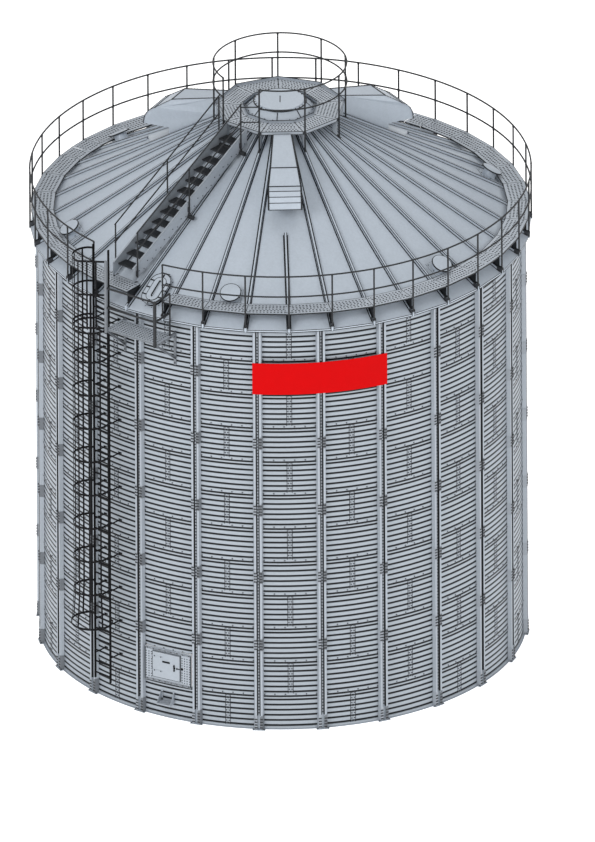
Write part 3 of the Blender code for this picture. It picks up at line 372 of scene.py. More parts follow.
def bar(low, high, matrix=None, edge=0.0, segments=1):
    """A box between two corners, with its edges rounded."""
    bm = bmesh.new()
    low, high = Vector(low), Vector(high)
    place = Matrix.Translation((low + high) / 2.0) @ Matrix.Diagonal((*(high - low), 1.0))
    bmesh.ops.create_cube(bm, size=1.0, matrix=place)
    if edge > 0.0:
        bmesh.ops.bevel(bm, geom=bm.edges, offset=edge, segments=segments, profile=0.5,
                        affect="EDGES", clamp_overlap=True)
    return mesh_of(bm, matrix)


def disc(centre, radius, height, matrix=None, sides=24, top=None, edge=0.0):
    """A round or many-sided drum on a local z axis."""
    bm = bmesh.new()
    bmesh.ops.create_cone(bm, cap_ends=True, segments=sides, radius1=radius,
                          radius2=radius if top is None else top, depth=height,
                          matrix=Matrix.Translation(centre))
    if edge > 0.0:
        rims = [item for item in bm.edges if len({round(v.co.z, 5) for v in item.verts}) == 1]
        bmesh.ops.bevel(bm, geom=rims, offset=edge, segments=2, profile=0.5, affect="EDGES",
                        clamp_overlap=True)
    return mesh_of(bm, matrix)


def pushed(points, along, matrix=None):
    """A flat outline of 3-D points pushed along a vector."""
    bm = bmesh.new()
    face = bm.faces.new([bm.verts.new(point) for point in points])
    made = bmesh.ops.extrude_face_region(bm, geom=[face])
    corners = [item for item in made["geom"] if isinstance(item, bmesh.types.BMVert)]
    bmesh.ops.translate(bm, verts=corners, vec=along)
    return mesh_of(bm, matrix)


def plate(outline, low, high, matrix=None):
    """A plate that stands along x: an (x, z) outline between two values of y."""
    return pushed([(x, low, z) for x, z in outline], (0.0, high - low, 0.0), matrix)


def upright(outline, low, high, matrix=None):
    """An upright bar: an (x, y) outline between two heights."""
    return pushed([(x, y, low) for x, y in outline], (0.0, 0.0, high - low), matrix)


def lofted(rows, matrix=None, closed=False):
    """A skin through rows of points, each row a closed outline, with capped or joined ends."""
    bm = bmesh.new()
    rows = [[bm.verts.new(point) for point in row] for row in rows]
    for here, there in zip(rows, rows[1:] + rows[:1] if closed else rows[1:]):
        for i in range(len(here)):
            j = (i + 1) % len(here)
            bm.faces.new((here[i], here[j], there[j], there[i]))
    if not closed:
        bm.faces.new(rows[0])
        bm.faces.new(rows[-1][::-1])
    return mesh_of(bm, matrix)


def swept(outline, angles, closed=False):
    """An (r, z) outline carried round the axis through a list of angles."""
    return lofted([[facing(angle) @ Vector((r, 0.0, z)) for r, z in outline] for angle in angles],
                  closed=closed)


def pipe(points, radius, matrix=None, sides=4):
    """A round tube with closed ends along straight stretches."""
    curve = bpy.data.curves.new("pipe", "CURVE")
    curve.dimensions = "3D"
    curve.bevel_depth = radius
    curve.bevel_resolution = sides
    curve.use_fill_caps = True
    spline = curve.splines.new("POLY")
    spline.points.add(len(points) - 1)
    for knot, place in zip(spline.points, points):
        knot.co = (*place, 1.0)
    wire = bpy.data.objects.new("pipe", curve)
    made = evaluated(wire)
    bm = bmesh.new()
    bm.from_mesh(made)
    bpy.data.meshes.remove(made)
    return mesh_of(bm, matrix)


def evaluated(thing):
    """The mesh an object ends as; the object is used up."""
    bpy.context.scene.collection.objects.link(thing)
    bpy.context.view_layer.update()
    made = bpy.data.meshes.new_from_object(thing.evaluated_get(bpy.context.evaluated_depsgraph_get()))
    bpy.data.objects.remove(thing)
    return made


def rounded(points, radius):
    """A path whose corners are turned into short bends."""
    steps = 4
    path = [Vector(points[0])]
    for before, corner, after in zip(points, points[1:], points[2:]):
        corner = Vector(corner)
        arm_in = (Vector(before) - corner).normalized() * radius
        arm_out = (Vector(after) - corner).normalized() * radius
        for step in range(steps + 1):
            f = step / steps
            path.append(corner + arm_in * (1.0 - f) ** 2 + arm_out * f ** 2)
    return path + [Vector(points[-1])]


def joined(meshes, matrix=None):
    """One mesh from several."""
    bm = bmesh.new()
    for mesh in meshes:
        bm.from_mesh(mesh)
    if matrix is not None:
        bmesh.ops.transform(bm, matrix=matrix, verts=bm.verts)
    return written(bm)


# Geometry Nodes

class NodeTree:
    """A geometry node tree under construction, from a base mesh to real meshes."""

    def __init__(self, name):
        self.group = bpy.data.node_groups.new(name, "GeometryNodeTree")
        self.group.interface.new_socket("Result", in_out="OUTPUT", socket_type="NodeSocketGeometry")
        self.given = self.group.nodes.new("NodeGroupInput")
        self.base = self.size("Mesh", "NodeSocketGeometry")

    def size(self, name, kind="NodeSocketFloat"):
        """A named input of the tree."""
        self.group.interface.new_socket(name, in_out="INPUT", socket_type=kind)
        return self.given.outputs[name]

    def add(self, kind, **inputs):
        """A node with its inputs set or linked."""
        node = self.group.nodes.new(kind)
        for name, value in inputs.items():
            self.put(node.inputs[name.replace("_", " ")], value)
        return node

    def put(self, socket, value):
        """Link an output to a socket, or set the socket's value."""
        if isinstance(value, bpy.types.NodeSocket):
            self.group.links.new(value, socket)
        else:
            socket.default_value = value

    def calc(self, operation, *values):
        """A math node's output."""
        node = self.group.nodes.new("ShaderNodeMath")
        node.operation = operation
        for socket, value in zip(node.inputs, values):
            self.put(socket, value)
        return node.outputs[0]

    def vector(self, name):
        """A named vector attribute."""
        read = self.add("GeometryNodeInputNamedAttribute", Name=name)
        read.data_type = "FLOAT_VECTOR"
        return read.outputs["Attribute"]

    def both(self, first, second):
        """Two geometries as one."""
        node = self.group.nodes.new("GeometryNodeJoinGeometry")
        self.put(node.inputs[0], first)
        self.put(node.inputs[0], second)
        return node.outputs[0]

    def close(self, geometry):
        """End the tree with real meshes in the material that it is given."""
        material = self.size("Material", "NodeSocketMaterial")
        real = self.add("GeometryNodeRealizeInstances", Geometry=geometry)
        painted = self.add("GeometryNodeSetMaterial", Geometry=real.outputs[0], Material=material)
        self.group.links.new(painted.outputs[0], self.group.nodes.new("NodeGroupOutput").inputs[0])
        return self.group


def grown(group, base, thickness=0.0, **sizes):
    """The plain mesh that a geometry node tree makes from a base mesh and named sizes."""
    seed = bpy.data.objects.new("seed", base)
    change = seed.modifiers.new("Grow", "NODES")
    change.node_group = group
    for item in group.interface.items_tree:
        if item.in_out == "INPUT" and item.name in sizes:
            change[item.identifier] = sizes[item.name]
    if thickness > 0.0:
        wall = seed.modifiers.new("Thickness", "SOLIDIFY")
        wall.thickness = thickness
        wall.offset = -1.0
    return evaluated(seed)


def bent_tree():
    """A sheet bent round the axis between two angles; the base mesh gives each row's r and z."""
    tree = NodeTree("bent sheet")
    start, end = tree.size("Start"), tree.size("End")
    columns, rows = (tree.size(name, "NodeSocketInt") for name in ("Columns", "Rows"))
    grid = tree.add("GeometryNodeMeshGrid", Size_X=1.0, Size_Y=1.0, Vertices_X=columns,
                    Vertices_Y=rows)
    position = tree.add("GeometryNodeInputPosition").outputs[0]
    spot = tree.add("ShaderNodeSeparateXYZ", Vector=position)
    across = tree.calc("ADD", spot.outputs["X"], 0.5)
    share = tree.calc("MULTIPLY", tree.calc("ADD", spot.outputs["Y"], 0.5),
                      tree.calc("SUBTRACT", rows, 1.0))
    angle = tree.calc("RADIANS", tree.calc("MULTIPLY_ADD", across,
                                           tree.calc("SUBTRACT", end, start), start))
    row = tree.add("GeometryNodeSampleIndex")
    row.data_type = "FLOAT_VECTOR"
    for name, value in (("Geometry", tree.base), ("Value", position),
                        ("Index", tree.calc("ROUND", share))):
        tree.put(row.inputs[name], value)
    found = tree.add("ShaderNodeSeparateXYZ", Vector=row.outputs["Value"])
    x = tree.calc("MULTIPLY", found.outputs["X"], tree.calc("SINE", angle))
    y = tree.calc("MULTIPLY", found.outputs["X"],
                  tree.calc("MULTIPLY", tree.calc("COSINE", angle), -1.0))
    place = tree.add("ShaderNodeCombineXYZ", X=x, Y=y, Z=found.outputs["Z"])
    bent = tree.add("GeometryNodeSetPosition", Geometry=grid.outputs[0], Position=place.outputs[0])
    return tree.close(bent.outputs[0])


def thicken_tree():
    """A sheet given a wall thickness on its inner side."""
    tree = NodeTree("thick sheet")
    inner = tree.add("GeometryNodeExtrudeMesh", Mesh=tree.base,
                     Offset_Scale=tree.calc("MULTIPLY", tree.size("Thickness"), -1.0))
    inner.inputs["Individual"].default_value = False
    outer = tree.add("GeometryNodeFlipFaces", Mesh=inner.outputs[0])
    merged = tree.add("GeometryNodeMergeByDistance", Geometry=tree.both(outer.outputs[0], tree.base),
                      Distance=0.00002)
    return tree.close(merged.outputs[0])


def copies_tree():
    """A mesh copied to points; each point carries the copy's outward and sideways axes."""
    tree = NodeTree("copies on points")
    info = tree.add("GeometryNodeObjectInfo", Object=tree.size("Copied", "NodeSocketObject"))
    axes = tree.add("FunctionNodeAxesToRotation")
    axes.primary_axis = "Z"
    axes.secondary_axis = "X"
    tree.put(axes.inputs[0], tree.vector("up"))
    tree.put(axes.inputs[1], tree.vector("side"))
    spread = tree.add("GeometryNodeInstanceOnPoints", Points=tree.base,
                      Instance=info.outputs["Geometry"], Rotation=axes.outputs[0])
    return tree.close(spread.outputs[0])


def bolt_tree():
    """Hexagon bolts on points: a head on a round washer."""
    tree = NodeTree("hexagon bolts")
    head, height, washer, thick = (tree.size(name) for name in ("Head", "Height", "Washer", "Thick"))
    nut = tree.add("GeometryNodeMeshCone", Vertices=6, Side_Segments=1, Fill_Segments=1,
                   Radius_Bottom=head, Radius_Top=tree.calc("MULTIPLY", head, 0.86), Depth=height)
    ring = tree.add("GeometryNodeMeshCylinder", Vertices=8, Radius=washer, Depth=thick)
    lift = tree.add("ShaderNodeCombineXYZ", Z=tree.calc("MULTIPLY", thick, 0.5))
    ring_up = tree.add("GeometryNodeTransform", Geometry=ring.outputs[0], Translation=lift.outputs[0])
    axis = tree.add("FunctionNodeAlignRotationToVector", Vector=tree.vector("up"))
    axis.axis = "Z"
    spread = tree.add("GeometryNodeInstanceOnPoints", Points=tree.base,
                      Instance=tree.both(nut.outputs[0], ring_up.outputs[0]),
                      Rotation=axis.outputs[0])
    flat = tree.add("GeometryNodeSetShadeSmooth", Geometry=spread.outputs[0], Shade_Smooth=False)
    return tree.close(flat.outputs[0])


BENT = bent_tree()
THICKEN = thicken_tree()
COPIES = copies_tree()
BOLTS = bolt_tree()


def points_mesh(places):
    """Loose points at frames, with each frame's z and x axes as attributes."""
    mesh = bpy.data.meshes.new("points")
    mesh.from_pydata([place.translation for place in places], [], [])
    for name, column in (("up", 2), ("side", 0)):
        axis = mesh.attributes.new(name, "FLOAT_VECTOR", "POINT")
        for item, place in zip(axis.data, places):
            item.vector = place.col[column].xyz
    return mesh


def copies(mesh, places, material):
    """Copies of a mesh at frames."""
    source = bpy.data.objects.new("copied", mesh)
    bpy.context.scene.collection.objects.link(source)
    made = grown(COPIES, points_mesh(places), Copied=source, Material=material)
    bpy.data.objects.remove(source)
    return made


def bolts(places, material, head=0.014, height=0.012, washer=0.018):
    """Hexagon bolts at frames whose z axis is the bolt's."""
    return grown(BOLTS, points_mesh(places), Material=material, Head=head, Height=height,
                 Washer=washer, Thick=0.003)


class Forms(list):
    """(mesh, material) pairs of one piece, made in a local frame."""

    def __init__(self, here=None):
        super().__init__()
        self.here = here

    def add(self, maker, material, *sizes, **extra):
        """Make a form in the local frame, or in the matrix given."""
        self.append((maker(*sizes, **{"matrix": self.here, **extra}), material))

    def slab(self, material, near, far, sheet, edge=0.0):
        """A box between two distances out, its (y0, z0, y1, z1) given."""
        y0, z0, y1, z1 = sheet
        self.add(bar, material, (near, y0, z0), (far, y1, z1), edge=edge)

    def bolt(self, places, *sizes, material=PLATED):
        """Bolts at frames, which the local frame doesn't change."""
        self.append((bolts(places, material, *sizes), material))

    def placed(self, matrix):
        """The same pairs in another frame."""
        return [(joined([mesh], matrix), material) for mesh, material in self]


def piece(name, forms, body=STRUCTURE, smooth=30.0, nodes=()):
    """An object from (mesh, material) pairs that rides on a body and may replace CAD nodes."""
    bm = bmesh.new()
    materials = []
    for mesh, material in forms:
        first = len(bm.faces)
        bm.from_mesh(mesh)
        bm.faces.ensure_lookup_table()
        if material not in materials:
            materials.append(material)
        index = materials.index(material)
        for face in bm.faces[first:]:
            face.material_index = index
    mesh = written(bm, name)
    for material in materials:
        mesh.materials.append(material)
    if smooth > 0.0:
        mesh.shade_smooth()
        mesh.set_sharp_from_angle(angle=radians(smooth))
    thing = bpy.data.objects.new(name, mesh)
    bpy.context.scene.collection.objects.link(thing)
    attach(thing, body)
    if nodes:
        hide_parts(*nodes)


# Perforated planks

HOLE_ANGLES = [2.0 * pi * step / HOLE_SIDES for step in range(HOLE_SIDES)]


def holed_cell(pitch, hole, thickness):
    """A square of sheet with a round hole, open at its outer edges."""
    bm = bmesh.new()
    rims = []
    for z in (0.0, -thickness):
        inner, outer = [], []
        for angle in HOLE_ANGLES:
            c, s = cos(angle), sin(angle)
            reach = pitch / 2.0 / max(abs(c), abs(s))
            inner.append(bm.verts.new((hole * c, hole * s, z)))
            outer.append(bm.verts.new((reach * c, reach * s, z)))
        rims.append((inner, outer))
    top, bottom = rims[0][0], rims[1][0]
    for i in range(HOLE_SIDES):
        j = (i + 1) % HOLE_SIDES
        for (inner, outer), way in zip(rims, (1, -1)):
            bm.faces.new((inner[i], outer[i], outer[j], inner[j])[::way])
        bm.faces.new((top[i], top[j], bottom[j], bottom[i]))
    return written(bm)


def hole_collar(hole):
    """The turned-down collar of a hole: an open tube with a rounded foot."""
    bm = bmesh.new()
    loops = []
    for radius, z in ((hole, -0.0004), (hole, -COLLAR_DEEP), (hole + COLLAR_LIP, -COLLAR_DEEP),
                      (hole + COLLAR_LIP, -0.0035)):
        loops.append([bm.verts.new((radius * cos(a), radius * sin(a), z)) for a in HOLE_ANGLES])
    for upper, lower in zip(loops, loops[1:]):
        for k in range(HOLE_SIDES):
            after = (k + 1) % HOLE_SIDES
            bm.faces.new((upper[after], upper[k], lower[k], lower[after]))
    return written(bm)


def plank(near, far, depth, thickness, pitch=0.080, hole=0.024, matrix=None, x_from=0.0):
    """A perforated plank and its holes' dark collars, whose near-black is painted shade in the holes: a
    tapered sheet, near and far wide.

    It runs from x_from along x; the holed cells lie between plain strips that reach its edges.
    """
    forms, places = [], []
    rows = int((depth - 2.0 * HOLE_BORDER) / pitch)
    first = x_from + (depth - rows * pitch) / 2.0

    def half(x):
        return (near + (far - near) * (x - x_from) / depth) / 2.0

    def plain(corners):
        forms.append(pushed([(x, y, 0.0) for x, y in corners], (0.0, 0.0, -thickness)))

    for row in range(rows):
        low, high = first + pitch * row, first + pitch * (row + 1)
        columns = int((min(half(low), half(high)) - HOLE_BORDER) * 2.0 / pitch)
        reach = columns * pitch / 2.0
        for column in range(columns):
            places.append(shift((low + high) / 2.0, pitch * (column + 0.5) - reach, 0.0))
        for side in SIDES:
            plain([(low, side * reach), (high, side * reach), (high, side * half(high)),
                   (low, side * half(low))])
    for low, high in ((x_from, first), (first + pitch * rows, x_from + depth)):
        plain([(low, -half(low)), (high, -half(high)), (high, half(high)), (low, half(low))])
    cells = copies(holed_cell(pitch, hole, thickness), places, PLANK)
    # near-black collars: painted shade in the holes
    collars = copies(hole_collar(hole - 0.0004), places, GRATE_AND_HOLE_SHADE)
    return [(joined([cells, *forms], matrix), PLANK), (joined([collars], matrix), GRATE_AND_HOLE_SHADE)]


# Wall

def ring_rows(foot):
    """(r, z) rows of one wall ring from its foot up: the lip over the ring below, then the grooves."""
    top = foot + RING_H
    rows = [(WALL_R, foot + OVER), (WALL_R, top - LIP_TOP)]
    crest = WALL_R - LAP_STEP
    for groove in reversed(range(GROOVES)):
        middle = GROOVE_FIRST + GROOVE_PITCH * groove
        for share in GROOVE_SHARES:
            depth = GROOVE_DEPTH * (1.0 + cos(pi * share)) / 2.0
            rows.append((crest - depth, top - middle - GROOVE_HALF * share))
    return rows + [(crest, top - OVER)]


def wall_rows(first, last, cap=False):
    """Rows of the wall from one ring to another, with or without the plain strip under the roof."""
    rows = [row for ring in range(first, last) for row in ring_rows(RING_H * ring)]
    return rows + [(WALL_R - LAP_STEP, WALL_TOP)] if cap else rows


def bent_sheet(rows, start, end, columns, material, thickness=SHEET_T):
    """A sheet with the given (r, z) rows, bent round the axis between two angles."""
    profile = bpy.data.meshes.new("rows")
    profile.from_pydata([(r, 0.0, z) for r, z in rows], [], [])
    return (grown(BENT, profile, thickness, Start=start, End=end, Columns=columns + 1,
                  Rows=len(rows), Material=material), material)


def seam_rings(angle):
    """Numbers, from the ground, of the rings that have a vertical seam at an angle."""
    odd = round(angle / BAY) % 2
    return [ring for ring in range(RINGS) if (RINGS - ring) % 2 != odd]


def seams(angles, rings_of=seam_rings):
    """Strips over the sheets' vertical edges, and frames for their two columns of bolts."""
    strips, places = [], []
    half = degrees(SEAM_HALF / WALL_R)
    for angle in angles:
        for ring in rings_of(angle):
            foot = RING_H * ring
            rows = [(r + SHEET_T, z) for r, z in ring_rows(foot)[1:]]
            strips.append(bent_sheet(rows, angle - half, angle + half, 2, SEAM))
            under = [(r - SHEET_T * 0.6, z) for r, z in rows]
            strips.append(bent_sheet(under, angle - half * 1.28, angle + half * 1.28, 2, SEAL_AND_SHADE_STRIP))
            for number in range(SEAM_BOLTS):
                below = GROOVE_FIRST + GROOVE_PITCH * (number - 1) / 2.0
                depth = 0.0 if number % 2 == 0 else GROOVE_DEPTH
                places += [outward(at(angle + side * half * 0.58,
                                      WALL_R - LAP_STEP + SHEET_T * 2.0 - depth, 0.0,
                                      foot + RING_H - below)) for side in SIDES]
    return strips, places


def lap_bolts(start, end, rings):
    """Frames for the bolts in the laps between rings, clear of stiffeners and seams."""
    places = []
    for angle in every(SHEET_FACET, start + SHEET_FACET / 2.0, end):
        off_stiffener = abs((angle - FIRST_STIFFENER + BAY / 2.0) % BAY - BAY / 2.0)
        off_seam = abs((angle + BAY / 2.0) % BAY - BAY / 2.0)
        if off_stiffener > 1.3 and off_seam > 0.7:
            places += [outward(at(angle, WALL_R, 0.0, RING_H * ring + LAP_BOLT_UP))
                       for ring in rings]
    return places


def make_wall_segment(number, start, end):
    """One stretch of corrugated wall with its seams and lap bolts."""
    columns = round((end - start) / SHEET_FACET)
    first = ceil(start / BAY) * BAY
    strips, places = seams([first + BAY * k for k in range(int((end - first) // BAY) + 1)])
    piece(f"wall_sheets_{number}",
          [bent_sheet(wall_rows(0, RINGS, True), start, end, columns, SHEET)] + strips,
          nodes=(f"wall_segment_{number}",))
    places += lap_bolts(start, end, range(1, RINGS))
    piece(f"wall_bolts_{number}", [(bolts(places, BRIGHT, 0.016), BRIGHT)])


def make_door_bay():
    """Wall sheets under and over the door, with their seams and bolts."""
    edge = FIRST_STIFFENER
    for name, first, last, cap, node in (("sheets_under_door", 0, 1, False, "wall_below_door"),
                                         ("sheets_over_door", 2, RINGS, True, "wall_above_door")):
        forms = Forms()
        forms.append(bent_sheet(wall_rows(first, last, cap), -edge, edge, 6, SHEET))
        rings = [ring for ring in seam_rings(0.0) if first <= ring < last]
        strips, places = seams([0.0], lambda angle: rings)
        places += lap_bolts(-edge, edge, range(max(first, 1), last))
        forms += strips
        if places:
            forms.bolt(places, material=BRIGHT)
        piece(name, forms, nodes=(node,))


# Stiffeners

def folded():
    """Plan of a folded stiffener sheet: two ridges with a valley between."""
    back, t = STIFFENER_BACK + 0.006, 0.004
    outer = [(back, 0.110), (STIFFENER_FACE, 0.088), (STIFFENER_FACE, 0.036),
             (STIFFENER_VALLEY, 0.024)]
    inner = [(back, 0.110 - t), (STIFFENER_FACE - t, 0.088 - t), (STIFFENER_FACE - t, 0.036 + t),
             (STIFFENER_VALLEY - t, 0.024 + t)]
    across = outer + [(x, -y) for x, y in reversed(outer)]
    return across + [(x, -y) for x, y in inner] + inner[::-1]


def add_sleeve(forms, finish, low, high, side):
    """Add one half of a splice: a leg beside the stiffener and a plate on the ridge, corners cut."""
    face, cut = STIFFENER_FACE, 0.040
    leg = [(FOOT_R, 0.118), (face + 0.004, 0.096), (face, 0.090), (FOOT_R, 0.108)]
    front = [(0.096, low), (0.056, low), (0.029, low + cut), (0.029, high - cut), (0.056, high),
             (0.096, high)]
    forms.add(upright, finish, [(x, side * y) for x, y in leg], low, high)
    forms.add(pushed, finish, [(face, side * y, z) for y, z in front], (0.004, 0.0, 0.0))


def valley_shade_strip(side):
    """Plan of the near-black strip on the flank between a ridge and the valley: painted shade in the
    valley.
    """
    face, valley = STIFFENER_FACE, STIFFENER_VALLEY
    return [(x, side * y) for x, y in (
        (valley + OVER, 0.0150), (valley + OVER, 0.0230), (face + 0.0006, 0.0350),
        (face + 0.0006, 0.0410), (face + 0.0014, 0.0410), (face + 0.0014, 0.0335),
        (valley + 0.0030, 0.0205), (valley + 0.0030, 0.0150))]


def make_stiffeners(name, middle):
    """A quarter of the base ring with six folded stiffeners, their splices, feet and bolts."""
    forms, bright, dark = Forms(), [], []
    ring = [(FOOT_R, 0.0), (5.545, 0.0), (5.545, 0.008), (5.512, 0.008), (5.512, 0.060),
            (FOOT_R, 0.060)]
    forms.append((swept(ring, [middle - 45.0 + SHEET_FACET * k for k in range(37)]), PROFILE))
    for number in range(6):
        angle = middle - 37.5 + BAY * number
        forms.here = facing(angle)
        forms.add(upright, PROFILE, folded(), 0.0, STIFFENER_TOP)
        for side in SIDES:
            # near-black strips on the valley's flanks: painted shade
            forms.add(upright, SEAL_AND_SHADE_STRIP, valley_shade_strip(side), FOOT_SPLICE[1], STIFFENER_TOP)
        under_panel = PANEL_FROM < angle < PANEL_TO
        spans = [(level - SPLICE_H / 2.0, level + SPLICE_H / 2.0) for level in SPLICES
                 if not (under_panel and level > PANEL_LOW)]
        for low, high in (FOOT_SPLICE, *spans):
            # one half of each splice in pale steel and the other in dark steel: painted light on one side,
            # painted shade on the other
            for side, finish in ((-1.0, SPLICE_PALE), (1.0, SPLICE)):
                add_sleeve(forms, finish, low, high, side)
            dark += [outward(at(angle, STIFFENER_FACE + 0.004, side * y, low + 0.045 + 0.07 * row))
                     for row in range(4) for side in SIDES for y in (0.046, 0.080)]
        forms.add(bar, PROFILE, (FOOT_R, -0.145, 0.0), (STIFFENER_BACK + 0.125, 0.145, 0.015))
        dark += [at(angle, STIFFENER_BACK + 0.095, side * 0.122, 0.015) for side in SIDES]
        bright += [outward(at(angle, STIFFENER_VALLEY, 0.0, level))
                   for level in every(VALLEY_BOLT_PITCH, 0.42, STIFFENER_TOP - 0.15)]
        bright += [outward(at(angle, 5.503, side * 0.128, RING_H * ring_number + LAP_BOLT_UP))
                   for side in SIDES for ring_number in range(1, RINGS)]
    piece(name, forms, nodes=(name,), smooth=0.0)
    piece(name + "_bolts", [(bolts(bright, BRIGHT, 0.0150, 0.012, 0.0175), BRIGHT),
                            (bolts(dark, PLATED, 0.0150, 0.013, 0.020), PLATED)], smooth=0.0)


# Roof

def faceted(outline, start):
    """60 degrees of a roof section, on 10-degree facets whose ends lie in the middle of a facet."""
    end = start + 60.0
    rows = []
    for angle in (start, *[start + 5.0 + ROOF_FACET * k for k in range(6)], end):
        factor = cos(radians(ROOF_FACET / 2.0)) if angle in (start, end) else 1.0
        rows.append([facing(angle) @ Vector((r * factor, 0.0, z)) for r, z in outline])
    return lofted(rows)


def add_rib(forms, low_r):
    """Add a standing rib: an upturned channel with flanges on the sheet and a pointed end."""
    high_r = RIB_HIGH_R
    crest = rib_top(high_r)
    forms.add(plate, RIBBING, strip(rib_top, low_r, high_r, 0.0, -0.004), -RIB_HALF, RIB_HALF)
    for side in SIDES:
        forms.add(plate, RIBBING, strip(roof_z, low_r, high_r, RIB_RISE, -0.002),
                  *span(side, RIB_HALF - 0.004, RIB_HALF))
        # near-black flanges at the rib's feet and strips along its upper sides: painted shade
        forms.add(plate, DARK_EDGE, strip(roof_z, low_r, 5.66, 0.0, 0.0035),
                  *span(side, RIB_HALF, RIB_HALF + 0.026))
        forms.add(plate, DARK_EDGE, strip(rib_top, low_r, high_r, 0.001, -0.014),
                  *span(side, RIB_HALF - 0.013, RIB_HALF + 0.001))
    forms.add(bar, RIBBING, (high_r, -RIB_HALF, EAVE_Z - 0.030), (high_r + 0.004, RIB_HALF, crest))
    tongue = [(high_r + 0.004, crest), (TIP_R, crest - 0.030), (TIP_R, EAVE_Z - 0.045),
              (5.694, EAVE_Z - 0.055)]
    forms.add(plate, RIBBING, tongue, -0.010, 0.010)
    if low_r == RIB_LOW_R:
        forms.add(bar, RIBBING, (low_r, -RIB_HALF, roof_z(low_r)),
                  (low_r + 0.004, RIB_HALF, rib_top(low_r)))


def make_roof_sector(number):
    """A sixth of the roof: six sheets with a hemmed eave, standing ribs with end caps and screws."""
    start = 5.0 + 60.0 * (number - 1)
    drop = ROOF_SHEET_T / cos(PITCH)
    foot, inside = EAVE_Z - EAVE_LIP, EAVE_R - ROOF_SHEET_T
    outline = [(CROWN_R, roof_z(CROWN_R) - drop), (inside, roof_z(inside) - drop),
               (inside, foot + 0.004), (EAVE_R - 0.030, foot + 0.004), (EAVE_R - 0.030, foot),
               (EAVE_R, foot), (EAVE_R, EAVE_Z), (CROWN_R, roof_z(CROWN_R))]
    forms, screws = Forms(), []
    forms.append((faceted(outline, start), ROOFING))
    for high in (EAVE_Z, foot + EAVE_HEM):
        hem = [(EAVE_R - 0.002, high - EAVE_HEM), (EAVE_R + OVER, high - EAVE_HEM),
               (EAVE_R + OVER, high), (EAVE_R - 0.002, high)]
        forms.append((faceted(hem, start), SEAL_AND_SHADE_STRIP))
    for k in range(6):
        here = forms.here = facing(start + 5.0 + ROOF_FACET * k)
        low_r = RIB_SHORT_R if number % 2 == 1 and k == 2 else RIB_LOW_R
        add_rib(forms, low_r)
        screws += [here @ shift(r, side * (RIB_HALF + 0.012), roof_z(r) + 0.0035) @ turned(30.0, "Y")
                   for r in every(0.32, low_r + 0.25, 5.55) for side in SIDES]
    piece(f"roof_panels_{number}", forms, nodes=(f"roof_sector_{number}",),
          smooth=0.0)
    piece(f"roof_screws_{number}", [(bolts(screws, PLATED, 0.0085, 0.008, 0.012), PLATED)],
          smooth=0.0)


def make_crown():
    """Collar on the roof's edge and the bolted lid in the crown platform."""
    skirt = [(0.690, roof_z(0.690) + OVER), (0.780, roof_z(0.780) + OVER),
             (0.780, roof_z(0.780) + 0.030), (0.772, roof_z(0.772) + 0.034), (0.600, 13.180),
             (0.600, 13.2000), (0.575, 13.2000), (0.575, 13.170), (0.690, roof_z(0.690) + 0.030)]
    steps = [7.5 * k for k in range(48)]
    fold = [(0.700, 13.095), (0.770, roof_z(0.770) + 0.040), (0.770, roof_z(0.770) + 0.048),
            (0.602, 13.188), (0.602, 13.178)]
    folds = [plate(fold, -0.010, 0.010, facing(22.5 + 45.0 * k)) for k in range(8)]
    rim = [at(15.0 * k, 0.748, 0.0, roof_z(0.748) + 0.055) @ turned(42.0, "Y") for k in range(24)]
    piece("crown_collar", [(swept(skirt, steps, True), ROOFING), (joined(folds), DARK_EDGE),
                           (bolts(rim, BRIGHT, 0.011, 0.010, 0.015), BRIGHT)],
          nodes=("roof_collar",))
    lid = [(0.0005, 13.2005), (0.610, 13.2005), (0.610, 13.2180), (0.548, 13.2180),
           (0.548, 13.2330), (0.540, 13.2410), (0.0005, 13.2450)]
    edge = [(0.590, 13.2005), (0.612, 13.2005), (0.612, 13.2190), (0.590, 13.2190)]
    heads = [at(12.0 * k + 6.0, 0.580, 0.0, 13.2180) for k in range(30)]
    hasp = bar((-0.17, -0.012, 13.2440), (0.17, 0.012, 13.2452), facing(28.0))
    piece("fill_lid", [(swept(lid, steps, True), ROOFING), (swept(edge, steps, True), DARK_EDGE),
                       (hasp, DARK_EDGE), (bolts(heads, PLATED, 0.013, 0.014, 0.019), PLATED)],
          nodes=("crown_lid",))


# Walkway, crown platform and guards

def upstand(near, far, top):
    """An (x, z) outline that stands on a rib and reaches up to a level top."""
    return [(near, rib_top(near) + OVER), (far, rib_top(far) + OVER), (far, top), (near, top)]


def facets(start, end):
    """The angles of the ribs between two angles, both included."""
    return [ROOF_FACET * k for k in range(ceil(start / ROOF_FACET), floor(end / ROOF_FACET) + 1)]


